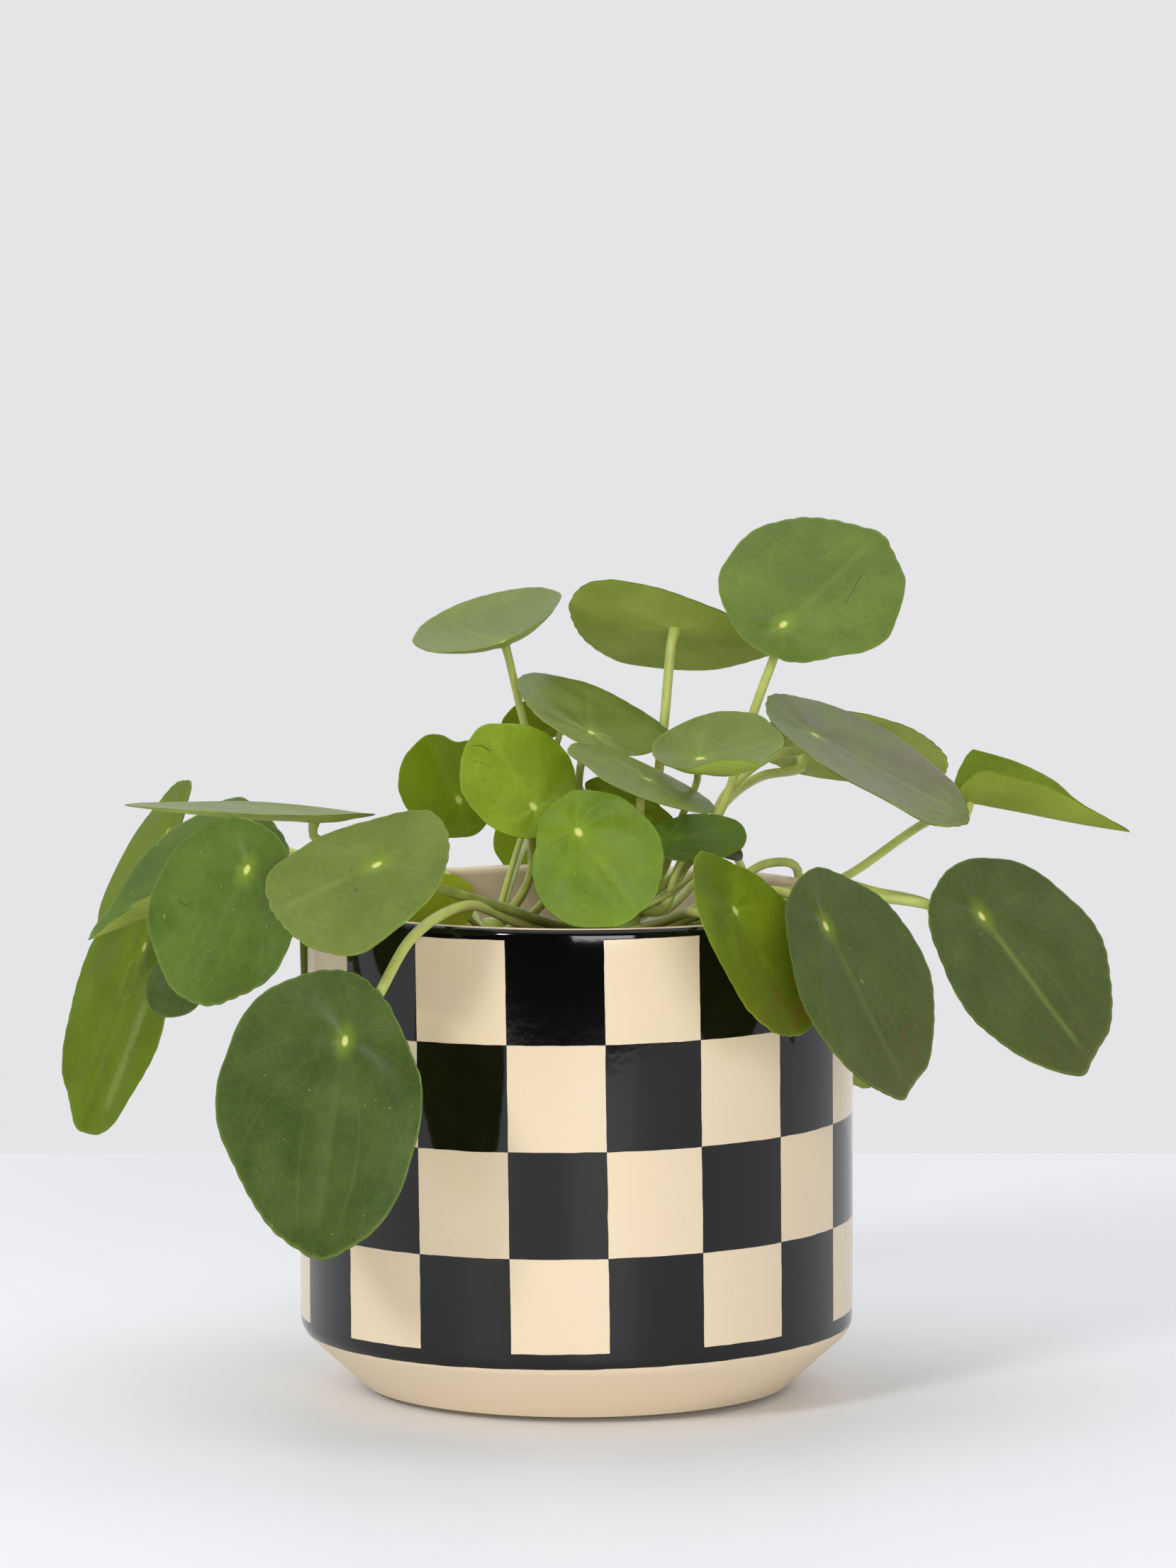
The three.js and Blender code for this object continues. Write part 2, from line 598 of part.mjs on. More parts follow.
const plant = new THREE.Group();
plant.add(meshOf('pot', turned(potProfile(), POT.segments), COLOURS.pot));
plant.add(meshOf('soil', geometryOf(soilSolid()), COLOURS.soil));
for (const [name, crown] of Object.entries(CROWNS)) {
  plant.add(meshOf(`trunk_${name}`, trunkGeometry(crown), COLOURS.trunk));
  plant.add(meshOf(`stalks_${name}`, geometryOf(stalksSolid(name)), COLOURS.stalk));
}
for (const [name, leaf] of Object.entries(LEAVES)) {
  plant.add(bladeMesh(name, leaf));
}

export default plant;
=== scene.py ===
"""A potted pilea: round leaves on long stalks in a straight glazed pot with a chamfered foot.

Everything is in metres with +Z up. The origin is the centre of the pot's foot, and -Y is the
side that the pot is looked at from. The frame's faceted solids say where each piece is; the
classes here build the fine pieces in their place and give them their finishes.
"""

import logging
import math
import random
from collections.abc import Sequence
from dataclasses import dataclass, field
from enum import Enum

import bpy
import numpy as np
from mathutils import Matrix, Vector, noise
from mathutils.kdtree import KDTree

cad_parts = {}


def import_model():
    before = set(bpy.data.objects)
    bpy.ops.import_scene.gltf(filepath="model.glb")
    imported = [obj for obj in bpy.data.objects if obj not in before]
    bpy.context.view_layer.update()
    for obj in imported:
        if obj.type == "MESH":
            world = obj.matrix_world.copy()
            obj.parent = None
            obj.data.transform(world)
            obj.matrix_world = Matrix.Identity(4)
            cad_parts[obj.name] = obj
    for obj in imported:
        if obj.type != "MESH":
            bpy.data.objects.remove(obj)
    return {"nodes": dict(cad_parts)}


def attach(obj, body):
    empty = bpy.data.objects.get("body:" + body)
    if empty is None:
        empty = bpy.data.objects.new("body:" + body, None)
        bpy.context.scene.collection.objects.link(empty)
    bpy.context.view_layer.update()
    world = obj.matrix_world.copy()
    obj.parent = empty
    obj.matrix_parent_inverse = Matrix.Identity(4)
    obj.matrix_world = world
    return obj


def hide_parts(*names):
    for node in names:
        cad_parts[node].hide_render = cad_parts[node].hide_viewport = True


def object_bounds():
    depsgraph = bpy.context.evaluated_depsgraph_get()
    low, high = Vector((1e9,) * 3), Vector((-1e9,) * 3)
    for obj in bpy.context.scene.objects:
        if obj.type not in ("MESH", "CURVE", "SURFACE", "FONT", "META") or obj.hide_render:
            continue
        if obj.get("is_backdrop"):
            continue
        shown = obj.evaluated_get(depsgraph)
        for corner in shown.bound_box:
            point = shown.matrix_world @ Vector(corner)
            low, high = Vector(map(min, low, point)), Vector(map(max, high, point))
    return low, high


Tree, Socket, Material = bpy.types.NodeTree, bpy.types.NodeSocket, bpy.types.Material
Faces = list[tuple[int, ...]]

log = logging.getLogger("potted_pilea")

MM = 0.001
BODY = "root"

# Places of a colour Mix node's sockets: its two colours and its result.
MIX_A, MIX_B, MIX_OUT = 6, 7, 2

# A blade's side veins in a quarter turn from the midrib. The swells between them keep step.
SIDE_VEINS = 3.5


# ---------------------------------------------------------------- small helpers


def linear(colour: str) -> tuple[float, float, float, float]:
    """Turns an sRGB hex colour such as "#e8d4b4" into linear red, green, blue and alpha.

    Args:
        colour: the colour as a hash and six hex digits.

    Returns:
        The linear colour with an alpha of 1.
    """
    shares = [int(colour[i : i + 2], 16) / 255 for i in (1, 3, 5)]
    red, green, blue = (
        share / 12.92 if share <= 0.04045 else ((share + 0.055) / 1.055) ** 2.4 for share in shares
    )
    return red, green, blue, 1.0


def per(pitch: float) -> float:
    """A pattern's scale from its real pitch in millimetres."""
    return 1 / (pitch * MM)


def add(
    tree: Tree, kind: str, *inputs: object, output: str | int = 0, **settings: object
) -> Socket | None:
    """Adds a shader node with its settings, and sets or links its inputs.

    Args:
        tree: the node tree that it goes into.
        kind: the node's type, without the leading ShaderNode.
        *inputs: plain values, or the outputs that feed it, in the order of its sockets. A
            dictionary among them gives sockets by name or place.
        output: the name or place of the output that is handed back.
        **settings: the node's own properties.

    Returns:
        The chosen output, or None for a node without one.
    """
    node = tree.nodes.new("ShaderNode" + kind)
    for name, value in settings.items():
        setattr(node, name, value)
    for place, given in enumerate(inputs):
        for name, value in (given if isinstance(given, dict) else {place: given}).items():
            if isinstance(value, Socket):
                tree.links.new(value, node.inputs[name])
            else:
                node.inputs[name].default_value = value
    return node.outputs[output] if node.outputs else None


def ramp(tree: Tree, factor: Socket, stops: Sequence[tuple[float, str]]) -> Socket:
    """Adds a colour ramp, whose stops the one-line node settings can't hold.

    Args:
        tree: the node tree that it goes into.
        factor: the output that runs along the ramp.
        stops: the place and hex colour of each stop.

    Returns:
        The ramp's colour output.
    """
    colour = add(tree, "ValToRGB", factor)
    elements = colour.node.color_ramp.elements
    while len(elements) < len(stops):
        elements.new(0.5)
    for element, (place, hex_colour) in zip(elements, stops):
        element.position = place
        element.color = linear(hex_colour)
    return colour


def coats(tree: Tree, colour: Socket | str, *layers: tuple[Socket, Socket | str]) -> Socket:
    """Lays coats of colour over one another, each as thick as its mask says.

    Args:
        tree: the node tree that they go into.
        colour: the lowest colour, as an output or a hex colour.
        *layers: each coat's mask and its colour, from the lowest coat to the top one.

    Returns:
        The colour that shows.
    """
    for mask, coat in layers:
        below, over = (linear(c) if isinstance(c, str) else c for c in (colour, coat))
        colour = add(
            tree, "Mix", mask, {MIX_A: below, MIX_B: over}, output=MIX_OUT, data_type="RGBA"
        )
    return colour


def blank_material(name: str) -> tuple[Material, Tree]:
    """Makes a material with an empty node tree.

    Args:
        name: the material's name.

    Returns:
        The material and its tree.
    """
    material = bpy.data.materials.new(name)
    material.use_nodes = True
    material.node_tree.nodes.clear()
    return material, material.node_tree


def make_mesh(
    name: str,
    points: np.ndarray,
    faces: Sequence[Sequence[int]],
    finishes: Sequence[Material],
    slots: Sequence[int] | None = None,
) -> bpy.types.Object:
    """Makes a smooth-shaded mesh object and links it to the scene.

    Args:
        name: the piece's name.
        points: the vertices, in metres in the row frame.
        faces: the vertices of each face.
        finishes: the materials that it wears.
        slots: which of the materials each face wears, or None for the first.

    Returns:
        The new object.
    """
    mesh = bpy.data.meshes.new(name)
    mesh.from_pydata([tuple(point) for point in points], [], [tuple(face) for face in faces])
    for finish in finishes:
        mesh.materials.append(finish)
    if slots is not None:
        mesh.polygons.foreach_set("material_index", list(slots))
    mesh.polygons.foreach_set("use_smooth", [True] * len(mesh.polygons))
    mesh.update()
    piece = bpy.data.objects.new(name, mesh)
    bpy.context.scene.collection.objects.link(piece)
    return piece


def mark(piece: bpy.types.Object, name: str, values: np.ndarray) -> None:
    """Keeps a number or a vector for each vertex, for the piece's material to read.

    Args:
        piece: the mesh object.
        name: the attribute's name.
        values: one row of three numbers, or one number, for each vertex.
    """
    kind, key = ("FLOAT", "value") if values.ndim == 1 else ("FLOAT_VECTOR", "vector")
    layer = piece.data.attributes.new(name, kind, "POINT")
    layer.data.foreach_set(key, values.astype(np.float32).ravel())


def fit(piece: bpy.types.Object, slot: str, *nodes: str) -> None:
    """Rides a piece on the plant's one body and hides the solids that it stands for.

    Args:
        piece: the finished piece.
        slot: the record's material slot that it wears; not used.
        *nodes: the frame's nodes that it replaces.
    """
    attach(piece, BODY)
    if nodes:
        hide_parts(*nodes)
    log.info("%s: %d faces", piece.name, len(piece.data.polygons))


def hooped(rings: int, sides: int) -> Faces:
    """Joins rings of points into a closed body with a cap at each end.

    Args:
        rings: how many rings there are, one after another.
        sides: the points in each of them.

    Returns:
        The faces.
    """
    faces: Faces = [tuple(range(sides - 1, -1, -1))]
    for low in range(0, (rings - 1) * sides, sides):
        high = low + sides
        for side in range(sides):
            after = (side + 1) % sides
            faces.append((low + side, low + after, high + after, high + side))
    top = (rings - 1) * sides
    return [*faces, tuple(range(top, top + sides))]


def turned(
    profile: Sequence[tuple[float, float]], sides: int, centre: tuple[float, float] = (0.0, 0.0)
) -> tuple[np.ndarray, Faces]:
    """Turns a profile about a vertical axis into a closed body.

    Args:
        profile: radius and height of each point, from the lower pole to the upper one; both
            poles are left out and closed with one face each.
        sides: faces round the axis.
        centre: where the axis stands.

    Returns:
        The vertices, ring by ring, and the faces.
    """
    turns = np.arange(sides) * (2 * math.pi / sides)
    east, north = np.cos(turns), np.sin(turns)
    rings = [
        np.column_stack((centre[0] + r * east, centre[1] + r * north, np.full(sides, height)))
        for r, height in profile
    ]
    return np.vstack(rings), hooped(len(profile), sides)


def ruffle(points: np.ndarray, pitch: float, depth: float, seed: int) -> np.ndarray:
    """Reads smooth noise at each point.

    Args:
        points: the places, in metres.
        pitch: the size of a bump.
        depth: the most that a bump rises or falls.
        seed: shifts the noise, so that two pieces differ.

    Returns:
        One height for each point, between -depth and depth.
    """
    shift = Vector((seed * 3.7, seed * 1.3, seed * 2.1))
    return np.array([depth * noise.noise(Vector(point) / pitch + shift) for point in points])


def travelled(line: np.ndarray) -> np.ndarray:
    """How far along a line each of its points lies."""
    return np.concatenate(([0.0], np.cumsum(np.linalg.norm(np.diff(line, axis=0), axis=1))))


def even_route(knots: Sequence[Vector], step: float) -> np.ndarray:
    """Draws the centripetal curve through the knots and spaces points evenly along it.

    Args:
        knots: what the curve passes, from end to end.
        step: about how far apart the points lie.

    Returns:
        The points, with the first and the last knot at the ends.
    """
    places = np.array([tuple(knot) for knot in knots])
    ends = np.vstack((2 * places[0] - places[1], places, 2 * places[-1] - places[-2]))
    drawn = []
    t = np.linspace(0, 1, 24, endpoint=False)[:, None]
    for before, start, finish, after in zip(ends, ends[1:], ends[2:], ends[3:]):
        gaps = [
            math.sqrt(np.linalg.norm(late - early))
            for early, late in ((before, start), (start, finish), (finish, after))
        ]
        middle = (finish - start) / gaps[1]
        leave = (start - before) / gaps[0] - (finish - before) / (gaps[0] + gaps[1]) + middle
        arrive = middle - (after - start) / (gaps[1] + gaps[2]) + (after - finish) / gaps[2]
        leave, arrive = leave * gaps[1], arrive * gaps[1]
        drawn.append(
            start
            + leave * t
            + (-3 * start + 3 * finish - 2 * leave - arrive) * t**2
            + (2 * start - 2 * finish + leave + arrive) * t**3
        )
    line = np.vstack((*drawn, places[-1:]))
    run = travelled(line)
    wanted = np.linspace(0, run[-1], max(4, round(run[-1] / step)) + 1)
    return np.column_stack([np.interp(wanted, run, line[:, axis]) for axis in range(3)])


def tube(
    route: np.ndarray, radii: np.ndarray, sides: int
) -> tuple[np.ndarray, Faces, np.ndarray]:
    """Sweeps a round section along a route into a closed body.

    Args:
        route: the centreline's points.
        radii: the section's radius at each of them.
        sides: faces round the section.

    Returns:
        The vertices, the faces, and for each vertex its turn round the section as a share.
    """
    forward = np.gradient(route, axis=0)
    forward /= np.linalg.norm(forward, axis=1)[:, None]
    side = np.cross(forward[0], (0.0, 0.0, 1.0) if abs(forward[0][2]) < 0.9 else (1.0, 0.0, 0.0))
    turns = np.arange(sides) / sides
    angles = turns[:, None] * 2 * math.pi
    rings = []
    for place, way, radius in zip(route, forward, radii):
        side = side - way * np.dot(side, way)
        side /= np.linalg.norm(side)
        other = np.cross(way, side)
        rings.append(place + radius * (np.cos(angles) * side + np.sin(angles) * other))
    return np.vstack(rings), hooped(len(route), sides), np.tile(turns, len(route))


# ---------------------------------------------------------------- finishes


@dataclass(frozen=True)
class GlazedStoneware:
    """Stoneware dipped in cream glaze, with squares of black glaze laid over it by hand.

    The black glaze is thick and glassy, so that it mirrors the light; the cream is softer, and
    the foot was wiped before firing and stays satin. Sizes are in millimetres.
    """

    cream: str = "#e6d5b8"
    warm_cream: str = "#ead4b2"
    speck: str = "#b08a5c"
    # The unglazed foot's dark colour, which also paints the shade in the gap under the pot.
    foot_clay_and_shade: str = "#4a3a2e"
    black: str = "#060605"
    edge: str = "#5d2f1a"
    ior: float = 1.48
    black_roughness: float = 0.07
    cream_roughness: float = 0.2
    foot_roughness: float = 0.42
    checks_round: int = 18
    first_edge_deg: float = 7.05
    check_width: float = 26.2
    check_height: float = 28.3
    first_row: float = 18.5
    twist_per_mm: float = -0.0002
    tilt: float = 0.0136
    lowest_cream: float = 21.55
    highest_cream: float = 131.2
    foot_line: float = 17.4
    clay_and_shade_line: float = 1.3
    lip_line_radius: float = 73.7
    wobble: float = 0.5
    wobble_pitch: float = 7.0
    line_width: float = 0.12
    cloud_pitch: float = 24.0
    speck_pitch: float = 2.6
    peel_pitch: float = 3.2
    peel_depth: float = 0.1

    def material(self) -> Material:
        """Builds the glaze, whose pattern is laid out from the pot's own heights and turns.

        Returns:
            The glaze, with a dark unglazed foot where the pot stands, darkened to paint the shade in the
            gap under it.
        """
        material, tree = blank_material("glazed_stoneware")
        place = add(tree, "TexCoord", output="Object")
        axes = add(tree, "SeparateXYZ", place).node.outputs
        hand = {"Vector": place, "Scale": per(self.wobble_pitch), "Detail": 3.0}
        hand_moves = add(tree, "TexNoise", hand, output="Color")
        wobbles = add(tree, "SeparateColor", hand_moves).node.outputs
        level = add(tree, "Math", axes[0], -self.tilt, axes[2], operation="MULTIPLY_ADD")
        check = self.checks(tree, axes, wobbles, level)
        edge = add(tree, "Math", wobbles[2], self.wobble * MM, level, operation="MULTIPLY_ADD")
        above, below, foot = (
            self.step(tree, edge, line + self.wobble / 2, side)
            for line, side in ((self.lowest_cream, 1), (self.highest_cream, -1), (self.foot_line, -1))
        )
        flat = add(tree, "CombineXYZ", axes[0], axes[1])
        radius = add(tree, "VectorMath", flat, output="Value", operation="LENGTH")
        inner = self.step(tree, radius, self.lip_line_radius, -1)
        window = add(tree, "Math", above, below, operation="MULTIPLY")
        cream = add(tree, "Math", check, window, operation="MULTIPLY")
        cream = add(tree, "Math", cream, foot, operation="MAXIMUM")
        cream = add(tree, "Math", cream, inner, operation="MAXIMUM")

        cloud = add(tree, "TexNoise", {"Vector": place, "Scale": per(self.cloud_pitch), "Detail": 4.0})
        spots = {"Vector": place, "Scale": per(self.speck_pitch)}
        speck = add(tree, "TexVoronoi", spots, output="Distance")
        speck = add(tree, "MapRange", speck, 0.06, 0.1, 0.22, 0.0)
        body = coats(tree, self.cream, (cloud, self.warm_cream), (speck, self.speck))
        stops = ((0.0, self.black), (0.35, self.black), (0.62, self.edge), (0.9, "#ffffff"))
        whole = add(tree, "MapRange", cream, 0.62, 0.95)
        # Below this line the foot is dark and unglazed, which paints the shade in the narrow gap under
        # the foot.
        bare = self.step(tree, axes[2], self.clay_and_shade_line, -1)
        colour = coats(tree, ramp(tree, cream, stops), (whole, body), (bare, self.foot_clay_and_shade))
        gloss = add(tree, "MapRange", cream, 0.0, 1.0, self.black_roughness, self.cream_roughness)
        wiped = self.foot_roughness - self.cream_roughness
        satin = add(tree, "MapRange", foot, 0.0, 1.0, 0.0, wiped)
        rough = add(tree, "Math", gloss, satin, operation="ADD")
        peel = add(tree, "TexNoise", {"Vector": place, "Scale": per(self.peel_pitch), "Detail": 2.0})
        ridge = add(tree, "Math", cream, -0.6, peel, operation="MULTIPLY_ADD")
        depth = self.peel_depth * MM
        bump = add(tree, "Bump", {"Strength": 0.16, "Distance": depth, "Height": ridge})
        look = {"Base Color": colour, "Roughness": rough, "IOR": self.ior, "Normal": bump}
        add(tree, "OutputMaterial", add(tree, "BsdfPrincipled", look))
        return material

    def checks(
        self, tree: Tree, axes: Sequence[Socket], wobbles: Sequence[Socket], level: Socket
    ) -> Socket:
        """Draws the squares, in columns round the axis and rows up the wall.

        Args:
            tree: the glaze's node tree.
            axes: the place in the pot, in metres.
            wobbles: how unsteady the hand was there.
            level: the height that the rows follow, in metres.

        Returns:
            A value of 1 in a cream square and 0 in a black one.
        """
        front = add(tree, "Math", axes[1], -1.0, operation="MULTIPLY")
        turn = add(tree, "Math", axes[0], front, operation="ARCTAN2")
        twist, first_edge = -self.twist_per_mm / MM, -math.radians(self.first_edge_deg)
        lean = add(tree, "Math", axes[2], twist, first_edge, operation="MULTIPLY_ADD")
        column = add(tree, "Math", turn, lean, operation="ADD")
        column = add(tree, "Math", column, self.checks_round / (2 * math.pi), operation="MULTIPLY")
        row = add(tree, "Math", level, self.first_row * MM, operation="SUBTRACT")
        row = add(tree, "Math", row, self.check_height * MM, operation="DIVIDE")
        steep = math.sin(math.pi * self.line_width / self.check_height)
        sizes = self.check_width, self.check_height
        waves = []
        for count, drift, size in zip((column, row), wobbles, sizes):
            share = self.wobble / size
            shift = add(tree, "Math", drift, share, -share / 2, operation="MULTIPLY_ADD")
            moved = add(tree, "Math", count, shift, operation="ADD")
            phase = add(tree, "Math", moved, math.pi, operation="MULTIPLY")
            wave = add(tree, "Math", phase, operation="SINE")
            wave = add(tree, "Math", wave, steep, operation="DIVIDE")
            wave = add(tree, "Math", wave, 1.0, operation="MINIMUM")
            waves.append(add(tree, "Math", wave, -1.0, operation="MAXIMUM"))
        parity = add(tree, "Math", *waves, operation="MULTIPLY")
        return add(tree, "Math", parity, -0.5, 0.5, operation="MULTIPLY_ADD")

    def step(self, tree: Tree, height: Socket, line: float, side: int) -> Socket:
        """Draws a glaze line across a height or a radius.

        Args:
            tree: the glaze's node tree.
            height: what is measured, in metres.
            line: where the line lies, in millimetres.
            side: 1 to be white above the line, -1 to be white below it.

        Returns:
            A value that goes from 0 to 1 across the line's width.
        """
        half = side * self.line_width * MM
        return add(tree, "MapRange", height, line * MM - half, line * MM + half)


@dataclass(frozen=True)
class Scar:
    """A mark on a blade's upper face, drawn along a line; a few are painted sheen or painted shade rather
    than marks of the leaf's own. Sizes are in millimetres.

    Attributes:
        start: where it starts, along and across the blade from the stalk.
        end: where it ends.
        width: half its width.
        colour: the colour that it lays over the green.
        strength: how much of that shows.
        ring: above 0, it is drawn as a ring this far from the line.
        ragged_pitch: how far apart the frays of its edge are.
    """

    start: tuple[float, float]
    end: tuple[float, float]
    width: float
    colour: str = "#5a4322"
    strength: float = 0.8
    ring: float = 0.0
    ragged_pitch: float = 10 / 9

    def draw(self, tree: Tree, place: Socket, green: Socket) -> Socket:
        """Lays the mark over the blade's colour.

        Args:
            tree: the face's node tree.
            place: the place along and across the blade, in metres.
            green: the colour so far.

        Returns:
            The colour with the mark.
        """
        way = Vector((*self.end, 0.0)) - Vector((*self.start, 0.0))
        start = Vector((*self.start, 0.0)) * MM
        width = self.width * MM
        frays = {"Vector": place, "Scale": per(self.ragged_pitch), "Detail": 2.0}
        ragged = add(tree, "TexNoise", frays, output="Color")
        ragged = add(tree, "VectorMath", ragged, (0.5, 0.5, 0.5), operation="SUBTRACT")
        ragged = add(tree, "VectorMath", ragged, {"Scale": 2.4 * width}, operation="SCALE")
        away = add(tree, "VectorMath", place, start, operation="SUBTRACT")
        away = add(tree, "VectorMath", away, ragged, operation="ADD")
        unit = way / way.length_squared / MM
        share = add(tree, "VectorMath", away, unit, output="Value", operation="DOT_PRODUCT")
        share = add(tree, "Math", share, 0.0, operation="ADD", use_clamp=True)
        nearest = add(tree, "VectorMath", way * MM, {"Scale": share}, operation="SCALE")
        away = add(tree, "VectorMath", away, nearest, operation="SUBTRACT")
        away = add(tree, "VectorMath", away, output="Value", operation="LENGTH")
        away = add(tree, "Math", away, self.ring * MM, operation="SUBTRACT")
        away = add(tree, "Math", away, operation="ABSOLUTE")
        shown = add(tree, "MapRange", away, 0.5 * width, 1.2 * width, self.strength, 0.0)
        return coats(tree, green, (shown, self.colour))


@dataclass(frozen=True)
class LeafTissue:
    """A pilea's blade: a waxy skin over firm green tissue, paler below, with sunken veins.

    The wax gives the upper face a soft grey sheen under broad light, and the thin tissue
    scatters light. Where `through` is above 0, daylight from behind shows through as well, in
    the colour `lit`. Sizes are in millimetres.
    """

    name: str
    upper: str
    deep: str
    under: str
    margin: str = "#8b9c48"
    spot: str = "#d3d77c"
    glow: str = "#86a024"
    blush: str = "#6a4a2c"
    salt: str = "#cdd3ae"
    vein: str = "#b9c27c"
    lit: str = "#d3e25a"
    ior: float = 1.4
    roughness: float = 0.4
    wax: float = 0.5
    under_wax: float = 0.08
    margin_wax: float = 0.2
    through: float = 0.0
    scatter: float = 0.4
    scatter_depth: float = 1.0
    rib: float = 0.1
    spot_radius: float = 0.95
    spot_oval: float = 0.66
    spot_strength: float = 1.0
    glow_radius: float = 4.6
    glow_strength: float = 0.55
    mottle_pitch: float = 1.6
    cloud_pitch: float = 14.0
    net_pitch: float = 2.4
    salt_pitch: float = 3.0
    stain_pitch: float = 2.5
    grain_pitch: float = 1.5
    patch_pitch: float = 9.0
    wander_pitch: float = 25.0
    scars: tuple[Scar, ...] = ()

    def start(self, tree: Tree) -> tuple[Socket, ...]:
        """Reads where a point of a face lies.

        Args:
            tree: the face's node tree.

        Returns:
            The place, the distances along and across the blade, how far out towards the
            edge it is from 0 to 1, and the soft clouds in the green there.
        """
        place = add(tree, "TexCoord", output="Object")
        plan = add(tree, "Attribute", output="Vector", attribute_name="plan")
        along, across, share = add(tree, "SeparateXYZ", plan).node.outputs[:3]
        cloud = add(tree, "TexNoise", {"Vector": place, "Scale": per(self.cloud_pitch), "Detail": 3.0})
        return place, along, across, share, cloud

    def upper_face(self) -> Material:
        """Builds the upper face: pale spot over the stalk, faint veins, salt specks, blush.

        Returns:
            The upper face's material.
        """
        material, tree = blank_material(self.name + "_upper")
        place, along, across, share, cloud = self.start(tree)
        cloud = add(tree, "MapRange", cloud, 0.35, 0.65)
        mottles = {"Vector": place, "Scale": per(self.mottle_pitch), "Detail": 3.0}
        mottle = add(tree, "MapRange", add(tree, "TexNoise", mottles), 0.3, 0.7, 0.93, 1.07)
        green = coats(tree, self.deep, (cloud, self.upper))
        green = add(tree, "HueSaturation", {"Value": mottle, "Color": green})
        cells = {"Vector": place, "Scale": per(self.net_pitch)}
        net = add(tree, "TexVoronoi", cells, output="Distance", feature="DISTANCE_TO_EDGE")
        net = add(tree, "MapRange", net, 0.0, 0.12, 0.035, 0.0)
        veins = self.veins(tree, place, along, across, share)
        lines = add(tree, "Math", veins, net, operation="MAXIMUM")
        blush = add(tree, "Attribute", output="Fac", attribute_name="blush")
        stain = add(tree, "TexNoise", {"Vector": place, "Scale": per(self.stain_pitch), "Detail": 4.0})
        stain = add(tree, "MapRange", stain, 0.42, 0.62)
        stain = add(tree, "Math", stain, blush, operation="MULTIPLY")
        specks = add(tree, "TexVoronoi", {"Vector": place, "Scale": per(self.salt_pitch)}).node.outputs
        near = add(tree, "MapRange", specks["Distance"], 0.04, 0.06, 1.0, 0.0)
        chance = add(tree, "SeparateColor", specks["Color"])
        chosen = add(tree, "MapRange", chance, 0.4, 0.85, 0.0, 0.75)
        salt = add(tree, "Math", near, chosen, operation="MULTIPLY")
        rim = add(tree, "MapRange", share, 0.975, 0.995, 0.0, 0.3)
        flat = add(tree, "CombineXYZ", along, across)
        oval = add(tree, "VectorMath", flat, (self.spot_oval, 1.0, 0.0), operation="MULTIPLY")
        reach = add(tree, "VectorMath", oval, output="Value", operation="LENGTH")
        halo, core = (
            add(
                tree, "MapRange", reach, inner * MM, outer * MM, strength * self.spot_strength, 0.0,
                interpolation_type="SMOOTHSTEP",
            )
            for inner, outer, strength in (
                (0.4, self.glow_radius, self.glow_strength),
                (0.5 * self.spot_radius, 1.3 * self.spot_radius, 1.0),
            )
        )
        green = coats(
            tree, green, (lines, self.under), (stain, self.blush), (salt, self.salt),
            (rim, self.margin), (halo, self.glow), (core, self.spot),
        )
        for scar in self.scars:
            green = scar.draw(tree, flat, green)
        relief = add(tree, "Math", lines, -0.5, mottle, operation="MULTIPLY_ADD")
        bump = add(tree, "Bump", {"Strength": 0.35, "Distance": 0.15 * MM, "Height": relief})
        matt = add(tree, "MapRange", cloud, 0.0, 1.0, self.roughness - 0.04, self.roughness + 0.06)
        self.finish(tree, green, matt, bump, self.wax)
        return material

    def under_face(self) -> Material:
        """Builds the underside: paler, matt, with the veins showing as soft ridges.

        Returns:
            The underside's material.
        """
        material, tree = blank_material(self.name + "_under")
        place, along, across, share, cloud = self.start(tree)
        cloud = add(tree, "MapRange", cloud, 0.3, 0.7, 0.0, 0.45)
        veins = self.veins(tree, place, along, across, share)
        pale = coats(tree, self.under, (cloud, self.upper), (veins, self.vein))
        grain = add(tree, "TexNoise", {"Vector": place, "Scale": per(self.grain_pitch), "Detail": 1.0})
        relief = add(tree, "Math", veins, 3.0, grain, operation="MULTIPLY_ADD")
        bump = add(tree, "Bump", {"Strength": 0.2, "Distance": 0.03 * MM, "Height": relief})
        matt = add(tree, "MapRange", grain, 0.0, 1.0, self.roughness + 0.08, self.roughness + 0.16)
        self.finish(tree, pale, matt, bump, min(self.wax, self.under_wax))
        return material

    def margin_edge(self) -> Material:
        """Builds the thin rolled edge, which has no chlorophyll and shows as a pale line.

        Returns:
            The edge's material.
        """
        material, tree = blank_material(self.name + "_margin")
        place = add(tree, "TexCoord", output="Object")
        patch = add(tree, "TexNoise", {"Vector": place, "Scale": per(self.patch_pitch), "Detail": 2.0})
        colour = ramp(tree, patch, ((0.38, self.deep), (0.55, self.upper), (0.68, self.margin)))
        matt = add(tree, "MapRange", patch, 0.0, 1.0, self.roughness, self.roughness + 0.1)
        bump = add(tree, "Bump", {"Strength": 0.1, "Distance": 0.05 * MM, "Height": patch})
        self.finish(tree, colour, matt, bump, min(self.wax, self.margin_wax))
        return material

